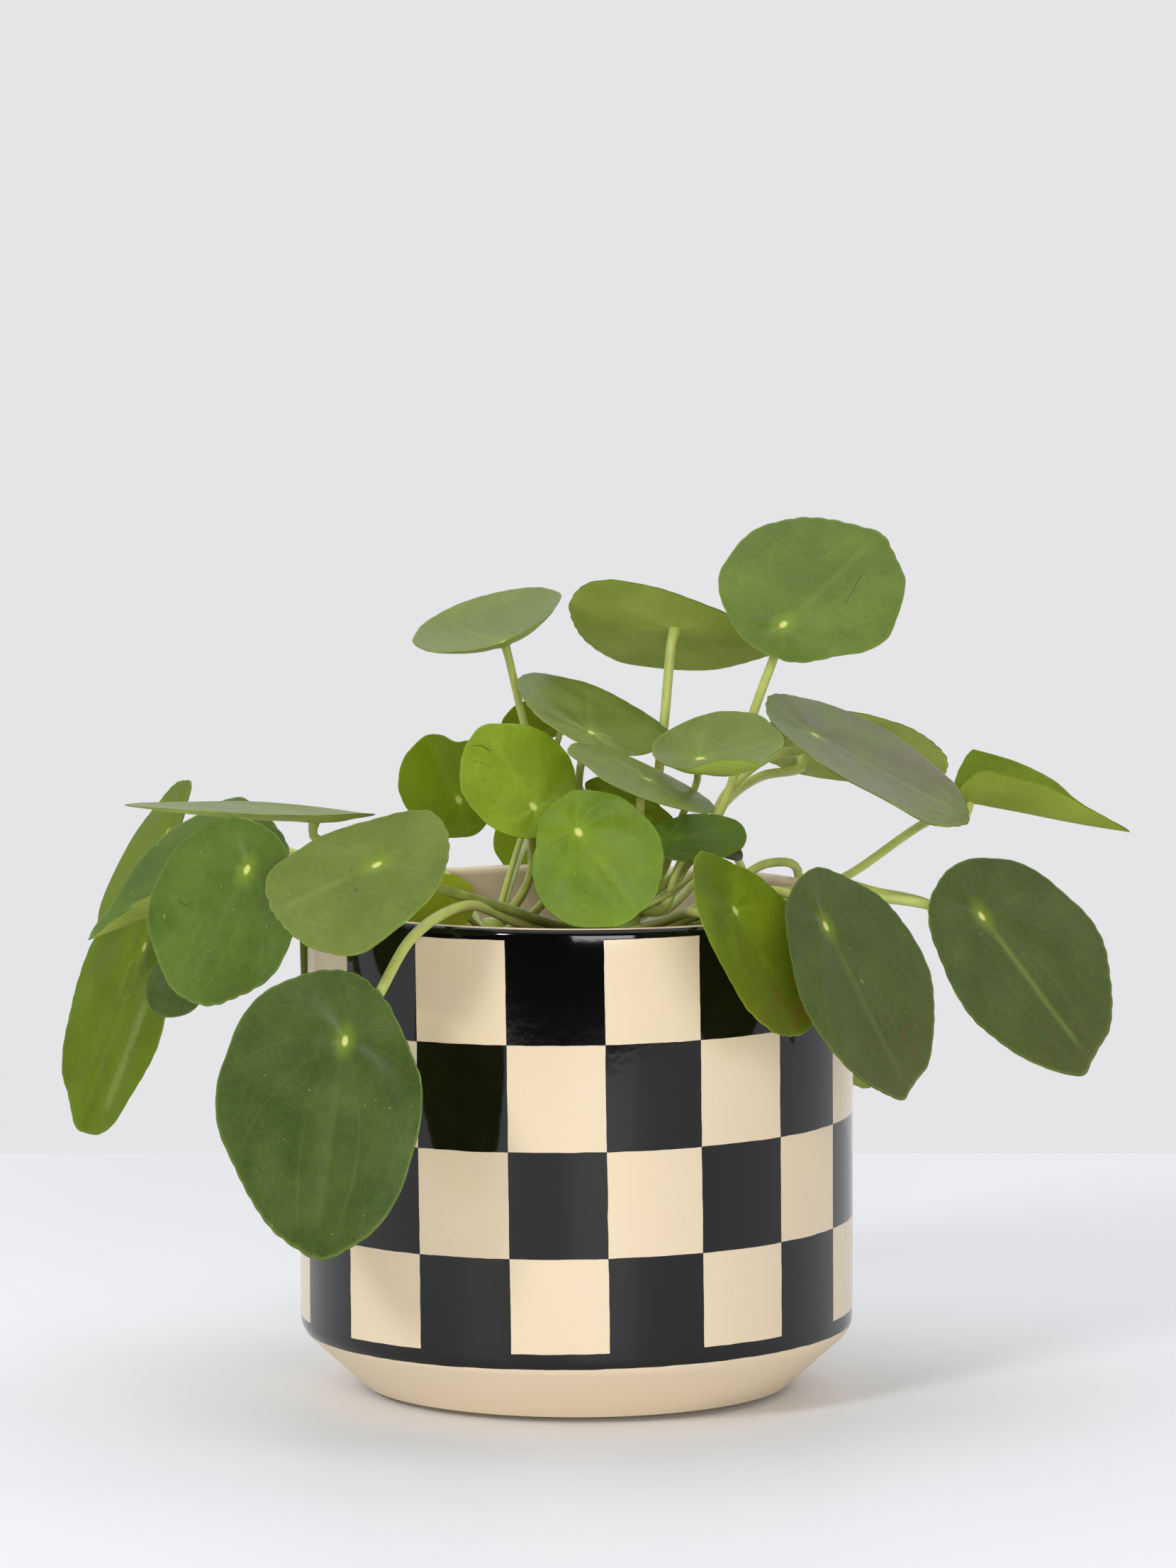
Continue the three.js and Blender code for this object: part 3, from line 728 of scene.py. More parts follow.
    def veins(
        self, tree: Tree, place: Socket, along: Socket, across: Socket, share: Socket
    ) -> Socket:
        """Draws the midrib and the side veins that fan out from the stalk.

        Args:
            tree: the face's node tree.
            place: the place in the plant, in metres.
            along: distance from the stalk towards the tip, in metres.
            across: distance across the midrib, in metres.
            share: how far out towards the edge, from 0 to 1.

        Returns:
            How much of the pale vein colour shows.
        """
        wander = add(tree, "TexNoise", {"Vector": place, "Scale": per(self.wander_pitch)})
        bent = add(tree, "Math", wander, 1.2 * MM, -0.6 * MM, operation="MULTIPLY_ADD")
        off = add(tree, "Math", across, bent, operation="ADD")
        off = add(tree, "Math", off, operation="ABSOLUTE")
        midrib = add(tree, "MapRange", off, 0.1 * MM, 1.7 * MM, self.rib, 0.0)
        ahead = add(tree, "MapRange", along, 1 * MM, 8 * MM)
        fading = add(tree, "MapRange", share, 0.8, 0.97, 1.0, 0.0)
        midrib = add(tree, "Math", midrib, ahead, operation="MULTIPLY")
        midrib = add(tree, "Math", midrib, fading, operation="MULTIPLY")
        turn = add(tree, "Math", across, along, operation="ARCTAN2")
        turn = add(tree, "Math", turn, operation="ABSOLUTE")
        swept = add(tree, "Math", share, 0.5, turn, operation="MULTIPLY_ADD")
        swept = add(tree, "Math", bent, 60.0, swept, operation="MULTIPLY_ADD")
        phase = add(tree, "Math", swept, SIDE_VEINS * math.pi / 2, operation="MULTIPLY")
        comb = add(tree, "Math", phase, operation="SINE")
        comb = add(tree, "Math", comb, operation="ABSOLUTE")
        side = add(tree, "MapRange", comb, 0.02, 0.1, 0.07, 0.0)
        side = add(tree, "Math", side, fading, operation="MULTIPLY")
        return add(tree, "Math", midrib, side, operation="MAXIMUM")

    def finish(self, tree: Tree, colour: Socket, matt: Socket, bump: Socket, wax: float) -> None:
        """Ends a face's tree in the leaf's own surface.

        Args:
            tree: the face's node tree.
            colour: the face's colour.
            matt: how rough the face is.
            bump: its fine relief.
            wax: how strongly the face's wax mirrors light.
        """
        look = {
            "Base Color": colour,
            "Roughness": matt,
            "IOR": self.ior,
            "Specular IOR Level": wax,
            "Subsurface Weight": self.scatter,
            "Subsurface Radius": (0.7, 1.0, 0.15),
            "Subsurface Scale": self.scatter_depth * MM,
            "Normal": bump,
        }
        surface = add(tree, "BsdfPrincipled", look)
        if self.through:
            light = add(tree, "BsdfTranslucent", {"Color": linear(self.lit), "Normal": bump})
            surface = add(tree, "MixShader", self.through, surface, light)
        add(tree, "OutputMaterial", surface)


@dataclass(frozen=True)
class StalkSkin:
    """A petiole's skin: smooth, succulent and light yellow-green, olive where it is old.

    Fine ribs run along it, and the wet tissue gives it a narrow soft highlight. Sizes are in
    millimetres.
    """

    light: str = "#c8d075"
    olive: str = "#7c8836"
    ior: float = 1.42
    roughness: float = 0.36
    rib_count: float = 7.0
    cloud_pitch: float = 6.0
    fibre_pitch: float = 1.2

    def material(self) -> Material:
        """Builds the skin, ribbed along the stalk and darker by its own shade.

        Returns:
            The skin's material.
        """
        material, tree = blank_material("stalk_skin")
        place = add(tree, "TexCoord", output="Object")
        skin = add(tree, "Attribute", output="Vector", attribute_name="skin")
        around, _, shade = add(tree, "SeparateXYZ", skin).node.outputs[:3]
        cloud = add(tree, "TexNoise", {"Vector": place, "Scale": per(self.cloud_pitch), "Detail": 3.0})
        cloud = add(tree, "MapRange", cloud, 0.3, 0.7, -0.18, 0.22)
        amount = add(tree, "Math", shade, cloud, operation="ADD", use_clamp=True)
        phase = add(tree, "Math", around, 2 * math.pi * self.rib_count, operation="MULTIPLY")
        rib = add(tree, "Math", phase, operation="SINE")
        fibre = add(tree, "TexNoise", {"Vector": place, "Scale": per(self.fibre_pitch), "Detail": 2.0})
        relief = add(tree, "Math", rib, 0.35, fibre, operation="MULTIPLY_ADD")
        look = {
            "Base Color": coats(tree, self.light, (amount, self.olive)),
            "Roughness": self.roughness,
            "IOR": self.ior,
            "Subsurface Weight": 0.3,
            "Subsurface Radius": (0.8, 1.0, 0.3),
            "Subsurface Scale": 0.9 * MM,
            "Normal": add(tree, "Bump", {"Strength": 0.25, "Distance": 0.08 * MM, "Height": relief}),
        }
        add(tree, "OutputMaterial", add(tree, "BsdfPrincipled", look))
        return material


@dataclass(frozen=True)
class CorkyBark:
    """The old stem's skin: dull brown cork, paler on the ridges where leaves have fallen."""

    groove: str = "#3d2c1d"
    bark: str = "#5e4630"
    scar: str = "#94795a"
    roughness: float = 0.85
    ior: float = 1.4
    grain_pitch: float = 1.6

    def material(self) -> Material:
        """Builds the cork, rough and darker in its grooves.

        Returns:
            The bark's material.
        """
        material, tree = blank_material("corky_bark")
        place = add(tree, "TexCoord", output="Object")
        grain = add(tree, "TexNoise", {"Vector": place, "Scale": per(self.grain_pitch), "Detail": 5.0})
        colour = ramp(tree, grain, ((0.35, self.groove), (0.5, self.bark), (0.68, self.scar)))
        rough = add(tree, "MapRange", grain, 0.0, 1.0, self.roughness - 0.1, self.roughness + 0.1)
        bump = add(tree, "Bump", {"Strength": 0.8, "Distance": 0.4 * MM, "Height": grain})
        look = {"Base Color": colour, "Roughness": rough, "IOR": self.ior, "Normal": bump}
        add(tree, "OutputMaterial", add(tree, "BsdfPrincipled", look))
        return material


@dataclass(frozen=True)
class PottingMix:
    """Moist peat and bark fines: dark, crumbly, with fibres that catch a little light."""

    dark: str = "#1d130c"
    brown: str = "#3f2c1c"
    fibre: str = "#6d5238"
    ior: float = 1.35
    crumb_pitch: float = 1.8
    clod_pitch: float = 2.2

    def material(self) -> Material:
        """Builds the crumbly soil, rough all over and darker in its hollows.

        Returns:
            The soil's material.
        """
        material, tree = blank_material("potting_mix")
        place = add(tree, "TexCoord", output="Object")
        crumb = add(tree, "TexNoise", {"Vector": place, "Scale": per(self.crumb_pitch), "Detail": 6.0})
        clods = {"Vector": place, "Scale": per(self.clod_pitch)}
        clod = add(tree, "TexVoronoi", clods, output="Distance")
        blend = add(tree, "Math", clod, -0.35, crumb, operation="MULTIPLY_ADD")
        colour = ramp(tree, blend, ((0.2, self.dark), (0.42, self.brown), (0.62, self.fibre)))
        rough = add(tree, "MapRange", crumb, 0.0, 1.0, 0.8, 1.0)
        bump = add(tree, "Bump", {"Strength": 1.0, "Distance": 0.9 * MM, "Height": blend})
        look = {"Base Color": colour, "Roughness": rough, "IOR": self.ior, "Normal": bump}
        add(tree, "OutputMaterial", add(tree, "BsdfPrincipled", look))
        return material


@dataclass(frozen=True)
class Perlite:
    """Puffed volcanic glass in the soil: white, light grains with a pitted matt surface."""

    white: str = "#dcd8cc"
    dusty: str = "#9c8f78"
    pit_pitch: float = 0.7

    def material(self) -> Material:
        """Builds the grains' pitted white.

        Returns:
            The grains' material.
        """
        material, tree = blank_material("perlite")
        place = add(tree, "TexCoord", output="Object")
        pit = add(tree, "TexNoise", {"Vector": place, "Scale": per(self.pit_pitch), "Detail": 4.0})
        colour = ramp(tree, pit, ((0.35, self.dusty), (0.6, self.white)))
        bump = add(tree, "Bump", {"Strength": 0.7, "Distance": 0.2 * MM, "Height": pit})
        look = {"Base Color": colour, "Roughness": 0.8, "Normal": bump}
        add(tree, "OutputMaterial", add(tree, "BsdfPrincipled", look))
        return material


@dataclass(frozen=True)
class PaintedBoard:
    """The pale painted board that the pot stands on: smooth and nearly matt."""

    paint: str = "#f1f2f6"
    roughness: float = 0.55

    def material(self) -> Material:
        """Builds the paint.

        Returns:
            The board's material.
        """
        material, tree = blank_material("painted_board")
        look = {"Base Color": linear(self.paint), "Roughness": self.roughness}
        add(tree, "OutputMaterial", add(tree, "BsdfPrincipled", look))
        return material


# ---------------------------------------------------------------- studio


@dataclass(frozen=True)
class Softbox:
    """A square studio light that looks at the plant. Places and sizes are in metres."""

    name: str
    place: tuple[float, float, float]
    size: float
    watts: float
    colour: str = "#ffffff"

    def build(self, aim: Vector) -> bpy.types.Object:
        """Makes the light.

        Args:
            aim: what it looks at.

        Returns:
            The light, unseen by the camera.
        """
        light = bpy.data.lights.new(self.name, "AREA")
        light.shape, light.size, light.energy = "SQUARE", self.size, self.watts
        light.color = linear(self.colour)[:3]
        lamp = bpy.data.objects.new(self.name, light)
        lamp.location = self.place
        lamp.rotation_euler = (aim - Vector(self.place)).to_track_quat("-Z", "Y").to_euler()
        lamp.visible_camera = False
        bpy.context.scene.collection.objects.link(lamp)
        return lamp


@dataclass
class Studio:
    """The camera, the pale board, the light in the room and the softboxes, in metres."""

    camera_place: tuple[float, float, float] = (0.0031, -2.2, 0.40125)
    camera_down_deg: float = 6.15
    focal_pixels: float = 11570.0
    image_width: float = 1659.0
    sensor: float = 36.0
    board: tuple[float, float, float, float] = (-1.1, 1.1, -0.74, 0.413)
    backdrop: str = "#e5e5e7"
    room_light: float = 0.68
    back_light: float = 1.15
    ceiling_light: float = 2.2
    dark_end: float = 0.03
    softboxes: tuple[Softbox, ...] = (
        Softbox("left_softbox", (-1.6, -2.14, 1.6), 0.6, 34.0),
        Softbox("front_softbox", (0.8, -4.1, 0.9), 1.9, 84.0),
    )
    aim: Vector = field(default_factory=lambda: Vector((0.0, 0.0, 0.12)))

    def build(self) -> None:
        """Sets the camera, the board, the room and the lights."""
        self.set_camera()
        self.lay_board()
        self.light_room()
        for softbox in self.softboxes:
            softbox.build(self.aim)

    def set_camera(self) -> None:
        """Puts the camera at the photograph's viewing angle, with no shift and no blur."""
        camera = bpy.data.cameras.new("camera")
        camera.sensor_fit = "HORIZONTAL"
        camera.sensor_width = self.sensor
        camera.lens = self.focal_pixels / self.image_width * self.sensor
        camera.clip_start, camera.clip_end = 0.05, 20.0
        holder = bpy.data.objects.new("camera", camera)
        holder.location = self.camera_place
        holder.rotation_euler = (math.radians(90 - self.camera_down_deg), 0.0, 0.0)
        bpy.context.scene.collection.objects.link(holder)
        bpy.context.scene.camera = holder
        bpy.context.scene.view_settings.view_transform = "Standard"

    def lay_board(self) -> None:
        """Lays the board, whose top is the surface that the pot stands on."""
        left, right, front, back = self.board
        points = np.array([(left, front, 0), (right, front, 0), (right, back, 0), (left, back, 0)])
        make_mesh("board", points, [(0, 1, 2, 3)], [PaintedBoard().material()])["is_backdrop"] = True

    def light_room(self) -> None:
        """Lights the room evenly, but for the dark end behind the camera.

        The pot's glaze mirrors that dark end, while the camera sees the plain backdrop in
        every direction.
        """
        world = bpy.data.worlds.new("room")
        bpy.context.scene.world = world
        world.use_nodes = True
        tree = world.node_tree
        tree.nodes.clear()
        way = add(tree, "TexCoord", output="Generated")
        front = (0.0, -1.0, 0.0)
        toward = add(tree, "VectorMath", way, front, output="Value", operation="DOT_PRODUCT")
        height = add(tree, "SeparateXYZ", way).node.outputs[2]
        sector = add(tree, "MapRange", toward, 0.05, 0.5)
        low = add(tree, "MapRange", height, 0.95, 0.7)
        dark = add(tree, "Math", sector, low, operation="MULTIPLY")
        walls = add(tree, "MapRange", toward, -0.2, -0.8, self.room_light, self.back_light)
        overhead = add(tree, "MapRange", height, 0.6, 0.9, 1.0, self.ceiling_light)
        bright = add(tree, "Math", walls, overhead, operation="MULTIPLY")
        bright = add(tree, "Mix", dark, {2: bright, 3: self.dark_end})
        room = add(tree, "Background", linear(self.backdrop), bright)
        seen = add(tree, "Background", linear(self.backdrop), 1.0)
        by_eye = add(tree, "LightPath", output="Is Camera Ray")
        add(tree, "OutputWorld", add(tree, "MixShader", by_eye, room, seen))


# ---------------------------------------------------------------- pot and soil


@dataclass
class GlazedPot:
    """The straight pot with a chamfered foot. Sizes are in millimetres.

    Attributes:
        foot_ring_inset: how far in from the foot the surface that the pot stands on ends.
        foot_ring_width: the width of the narrow faces along that surface's rim.
        foot_ring_edge: how far its worn edge reaches to both sides, foot_ring_wear how high.
        foot_ring_lift: the gap outside it, under the foot, which ends at foot_edge.
        hand_made: half of the most that the wall strays in from a true circle.
    """

    radius: float = 75.0
    height: float = 134.0
    wall: float = 4.6
    foot_radius: float = 58.5
    foot_round: float = 2.5
    foot_ring_inset: float = 9.0
    foot_ring_width: float = 1.0
    foot_ring_edge: float = 0.2
    foot_ring_wear: float = 0.15
    foot_ring_lift: float = 1.9
    foot_edge: float = 0.8
    foot_edge_lift: float = 1.6
    chamfer_top: float = 17.4
    shoulder_round: float = 7.0
    floor: float = 6.0
    sides: int = 288
    wall_steps: int = 24
    hand_made: float = 0.12
    hand_made_pitch: float = 45.0

    def arc(
        self, x: float, y: float, radius: float, start: float, end: float, steps: int
    ) -> list[tuple[float, float]]:
        """Points of an arc in the profile, with angles in degrees."""
        angles = np.radians(np.linspace(start, end, steps + 1))
        return [(x + radius * math.cos(angle), y + radius * math.sin(angle)) for angle in angles]

    def profile(self) -> list[tuple[float, float]]:
        """Draws the outside and inside of the pot, from its foot round the lip to its floor.

        Returns:
            The radius and height of each point, in millimetres.
        """
        slope = math.atan2(self.chamfer_top, self.radius - self.foot_radius)
        slope_deg = math.degrees(slope)
        lip = self.wall / 2
        foot = self.foot_radius - self.foot_round * math.tan(slope / 2)
        shoulder = self.chamfer_top - self.shoulder_round * math.tan(slope / 2 - math.pi / 4)
        inner, inner_foot = self.radius - self.wall, self.foot_radius - self.wall
        inner_rise = self.floor + (inner - inner_foot) * math.tan(slope)
        ring = foot - self.foot_ring_inset
        wall = np.linspace(shoulder, self.height - lip, self.wall_steps + 1)[1:-1]
        inside = np.linspace(self.height - lip, inner_rise, self.wall_steps + 1)[1:]
        foot_arc = (foot, self.foot_round, self.foot_round - self.foot_edge_lift)
        shoulder_arc = (self.radius - self.shoulder_round, shoulder, self.shoulder_round)
        return [
            (ring - self.foot_ring_width, 0.0),
            (ring - self.foot_ring_edge, 0.0),
            (ring, self.foot_ring_wear),
            (ring + self.foot_ring_edge, self.foot_ring_lift),
            (foot - self.foot_edge, self.foot_ring_lift),
            *self.arc(*foot_arc, -80, slope_deg - 90, 6),
            *self.arc(*shoulder_arc, slope_deg - 90, 0, 10),
            *((self.radius, z) for z in wall),
            *self.arc(self.radius - lip, self.height - lip, lip, 0, 180, 16),
            *((inner, z) for z in inside),
            (inner_foot, self.floor),
        ]

    def build(self) -> None:
        """Turns the pot, leaves it a little uneven as a thrown one is, and glazes it."""
        profile = [(r * MM, z * MM) for r, z in self.profile()]
        points, faces = turned(profile, self.sides)
        most = self.hand_made * MM
        swell = ruffle(points, self.hand_made_pitch * MM, most, seed=3) - most
        lengths = np.hypot(points[:, 0], points[:, 1])
        upper = np.clip(points[:, 2] / (self.chamfer_top * MM), 0, 1)
        points[:, :2] *= (1 + swell * upper / lengths)[:, None]
        pot = make_mesh("glazed_pot", points, faces, [GlazedStoneware().material()])
        fit(pot, "pot_glaze", "pot")


@dataclass
class PottingSoil:
    """The soil that fills the pot, with crumbs and perlite on it. Sizes are in millimetres.

    Attributes:
        base_rise: how far above the bottom the soil reaches its full radius.
        clods: the pitch and depth of its coarse unevenness; crumble is the fine one's.
        stretches: the least and greatest stretch of a lump along x, y and z.
        pits: the pitch and depth of a lump's dents, as shares of its radius.
        lift: how far a lump's middle stands above the soil, as a share of its radius.
        keep_clear: where each trunk stands, and how far round it no lump lies.
    """

    radius: float = 70.0
    bottom_radius: float = 53.0
    bottom: float = 6.5
    base_rise: float = 20.0
    level: float = 107.0
    mound: float = 4.0
    rings: int = 46
    sides: int = 150
    edge_clear: float = 3.0
    crumbs: int = 260
    crumb_size: tuple[float, float] = (0.8, 2.6)
    grains: int = 34
    grain_size: tuple[float, float] = (0.7, 1.5)
    stretches: tuple[tuple[float, float], ...] = ((0.7, 1.3), (0.7, 1.3), (0.5, 0.9))
    pits: tuple[float, float] = (0.8, 0.35)
    lift: float = 0.2
    clods: tuple[float, float] = (11.0, 1.5)
    crumble: tuple[float, float] = (3.4, 0.8)
    keep_clear: tuple[tuple[float, float, float], ...] = ((12, -3, 7.5), (-22, 3, 6.5))
    seed: int = 11

    def height_at(self, points: np.ndarray) -> np.ndarray:
        """Finds how high the soil lies.

        Args:
            points: the places to look at, in metres.

        Returns:
            The height at each of them, in metres.
        """
        share = np.hypot(points[:, 0], points[:, 1]) / (self.radius * MM)
        mound = self.level + self.mound * (1 - share**2)
        flat = np.column_stack((points[:, :2], np.zeros(len(points))))
        height = mound * MM
        for number, (pitch, depth) in enumerate((self.clods, self.crumble)):
            height += ruffle(flat, pitch * MM, depth * MM, self.seed + number)
        return height

    def build(self) -> None:
        """Builds the soil's crumbly top over a plain closed body, and its perlite."""
        shares = np.sqrt(np.linspace(0.0006, 1.0, self.rings))
        profile = [
            (self.bottom_radius * MM, self.bottom * MM),
            (self.radius * MM, (self.bottom + self.base_rise) * MM),
            *((self.radius * MM * share, self.level * MM) for share in shares[::-1]),
        ]
        points, faces = turned(profile, self.sides)
        top = points[:, 2] > (self.level - 1) * MM
        points[top, 2] = self.height_at(points[top])
        rng = random.Random(self.seed)
        points, faces = self.scatter(rng, self.crumbs, self.crumb_size, points, faces)
        soil = make_mesh("potting_mix", points, faces, [PottingMix().material()])
        fit(soil, "soil", "soil")
        points, faces = self.scatter(rng, self.grains, self.grain_size, np.zeros((0, 3)), [])
        grains = make_mesh("perlite_grains", points, faces, [Perlite().material()])
        fit(grains, "soil")

    def scatter(
        self,
        rng: random.Random,
        count: int,
        sizes: tuple[float, float],
        points: np.ndarray,
        faces: Faces,
    ) -> tuple[np.ndarray, Faces]:
        """Adds lumps, half sunk in the soil and clear of the trunks.

        Args:
            rng: the seeded draw.
            count: how many lumps.
            sizes: the bounds of the draw that gives a lump's radius, in millimetres.
            points: the vertices so far.
            faces: the faces so far.

        Returns:
            The vertices and faces with the lumps.
        """
        ball, ball_faces = self.ball()
        bodies, all_faces, start = [points], list(faces), len(points)
        while count:
            turn = rng.uniform(0, 2 * math.pi)
            out = math.sqrt(rng.random()) * (self.radius - self.edge_clear)
            x, y = out * math.cos(turn), out * math.sin(turn)
            if any(math.hypot(x - cx, y - cy) < clear for cx, cy, clear in self.keep_clear):
                continue
            count -= 1
            # The power makes small lumps commoner than large ones.
            size = rng.uniform(*sizes) ** 1.3 * MM * 0.7
            stretch = [rng.uniform(*limits) for limits in self.stretches]
            dents = 1 + ruffle(ball, *self.pits, rng.randrange(999))
            body = ball * stretch * dents[:, None] * size
            spot = np.array([[x * MM, y * MM, 0.0]])
            spot[0, 2] = self.height_at(spot)[0] + self.lift * size
            bodies.append(body + spot)
            all_faces += [tuple(start + i for i in face) for face in ball_faces]
            start += len(ball)
        return np.vstack(bodies), all_faces

    def ball(self) -> tuple[np.ndarray, Faces]:
        """A small ball of radius 1 to shape the lumps from."""
        lift = np.radians(np.linspace(-66, 66, 5))
        return turned([(math.cos(a), math.sin(a)) for a in lift], 9)


# ---------------------------------------------------------------- the plant


class Tone(Enum):
    """How a blade's tissue has aged and thickened, and how it is marked; some tones are paler or darker
    copies of the green that carry painted sheen, painted shade or painted light.
    """

    GROWN = LeafTissue("grown_leaf", upper="#617b28", deep="#516a1e", under="#b2bd5c")
    # Paler and greyer than the grown green: painted sheen for blades seen at a grazing angle against the
    # bright room.
    OLIVE = LeafTissue("painted_sheen_leaf", upper="#78883c", deep="#6a7a30", under="#b2bd5c")
    # A darker copy of the grown green: painted shade for blades that hang down, away from the light
    # above.
    DARK = LeafTissue("painted_shade_leaf", upper="#4d6120", deep="#3b5013", under="#a3b054", rib=0.05)
    # A lighter green than the blade's own: painted light on a blade that sits in shade behind the leaves
    # in front of it.
    GLOSSY = LeafTissue(
        "glossy_painted_light_leaf", upper="#67861f", deep="#557416", under="#a3b054",
        roughness=0.38, wax=0.2, spot_strength=0.0,
    )
    YOUNG = LeafTissue("young_leaf", upper="#728d1b", deep="#627d14", under="#b2c052", wax=0.22)
    LIT = LeafTissue("lit_leaf", upper="#647d2a", deep="#546d20", under="#b8c26a", through=0.3)
    THIN = LeafTissue(
        "thin_leaf", upper="#6c8214", deep="#5b700d", under="#a5b344",
        wax=0.06, scatter_depth=1.2, through=0.35,
    )
    RUSTY = LeafTissue(
        "rusty_leaf", upper="#788b1c", deep="#647714", under="#a5b344",
        blush="#8a6236", wax=0.1, scatter_depth=1.2, through=0.12,
    )
    BRONZED = LeafTissue(
        "bronzed_leaf", upper="#6f7f36", deep="#66673f", under="#b2bd5c",
        cloud_pitch=18.0, blush="#5f4334",
    )
    YELLOWED = LeafTissue(
        "yellowed_leaf", upper="#9aa126", deep="#87901a", under="#b3b84a",
        wax=0.1, through=0.4, spot_strength=0.0,
    )
    PALE_RIB = LeafTissue(
        "pale_ribbed_leaf", upper="#4f5f24", deep="#45541b", under="#a3b054", rib=0.3
    )
    BLOTCHED = LeafTissue(
        "blotched_leaf", upper="#4f6022", deep="#455519", under="#a3b054", wax=0.35,
        scars=(
            Scar((34, 8), (36, 9), 0.9, "#5b4728", 0.75),
            Scar((36, 14), (37, 14.5), 0.6, "#6b5a30", 0.7),
            Scar((27, 6), (29, 7.5), 0.4, "#6b6a30", 0.6),
            Scar((17, 3), (18, 3.2), 0.3, "#a3a868", 0.6),
        ),
    )
    SCRATCHED = LeafTissue(
        "scratched_leaf", upper="#8aa224", deep="#79911b", under="#b2c052", wax=0.3,
        scars=(
            Scar((23.0, 6.0), (21.7, 3.4), 0.16, "#5c3a1c", 0.75),
            Scar((21.7, 3.4), (19.4, 2.2), 0.2, "#5c3a1c", 0.85),
            Scar((18.8, 7.5), (18.2, 7.0), 0.16, "#5a3a20", 0.7),
            Scar((17.4, 6.3), (17.1, 5.6), 0.16, "#5a3a20", 0.7),
            Scar((12.5, 8.3), (12.9, 8.0), 0.2, "#6a4a26", 0.6),
            Scar((5.6, 8.7), (5.9, 8.5), 0.2, "#5a4322", 0.6),
        ),
    )
    CRACKED = LeafTissue(
        "cracked_leaf", upper="#5a7423", deep="#4b641a", under="#b2bd5c", rib=0.05,
        scars=(
            Scar((16.2, -15.5), (16.8, -12.6), 0.14, "#33451b", 0.9),
            Scar((16.8, -12.6), (14.6, -10.6), 0.14, "#33451b", 0.9),
            Scar((22, -17), (22.4, -16.6), 0.3, "#a9ae6a", 0.5),
        ),
    )
    SPECKLED = LeafTissue(
        "speckled_leaf", upper="#6f8030", deep="#617224", under="#b2bd5c", wax=0.35,
        scars=(
            Scar((7.5, 5.5), (7.8, 5.6), 0.3, "#33381a", 0.9),
            Scar((13, -5), (13.3, -5), 0.25, "#3d421c", 0.8),
            Scar((6.5, -2), (6.8, -2), 0.2, "#3d421c", 0.8),
            Scar((20, 5), (20.2, 5), 0.22, "#4a4a22", 0.7),
            Scar((24, -3), (24.2, -3.2), 0.2, "#a9ae6a", 0.7),
        ),
    )
    WATER_MARKED = LeafTissue(
        "water_marked_leaf", upper="#6a8018", deep="#596e10", under="#a5b344",
        wax=0.1, scatter_depth=1.2, through=0.25,
        scars=(
            Scar((8, -1), (12, -0.5), 0.45, "#98a350", 0.28, ring=3.4),
            Scar((18, 12), (20, 12.5), 0.25, "#a2ab58", 0.35, ring=1.8),
            # A broad pale band along one edge, where the rim curls up: painted sheen.
            Scar((14, 13), (42, 12), 2.4, "#9fa962", 0.35),
        ),
    )
    CREASED = LeafTissue(
        "creased_leaf", upper="#6a8129", deep="#5a7120", under="#b2bd5c",
        # A dark line along a crease: painted shade of a fold that the blade's form does not have.
        scars=(Scar((16.9, -8), (27.8, -4.9), 0.2, "#34491a", 0.6),),
    )
    BROWNED = LeafTissue("browned_leaf", upper="#4d4a26", deep="#38401c", under="#6b6430", rib=0.05)


@dataclass(frozen=True)
class Leaf:
    """One leaf: the solid of its blade, and how its stalk runs to it.

    Attributes:
        node: the blade's node in the frame.
        points: the way that the blade's tip lies.
        stem: the stem that it grows on.
        rise: how many steps up the stem's head its stalk starts.
        stalk: the stalk's radius in millimetres.
        via: the points that the stalk passes, in millimetres.
        tone: how the tissue has aged, and the painted sheen, shade or light that some tones carry.
        blush: how brown the blade is towards its tip, from 0 to 1.
        shade: how olive the stalk is, from 0 to 1.
        crease: how deep the groove over its midrib is, as a share of the usual.
        full: whether the hollows that the solid leaves beside the tip are filled out.
    """

    node: str
    points: tuple[float, float, float]
    stem: str
    rise: int
    stalk: float
    via: tuple[tuple[float, float, float], ...]
    tone: Tone = Tone.GROWN
    blush: float = 0.0
    shade: float = 0.1
    crease: float = 1.0
    full: bool = False


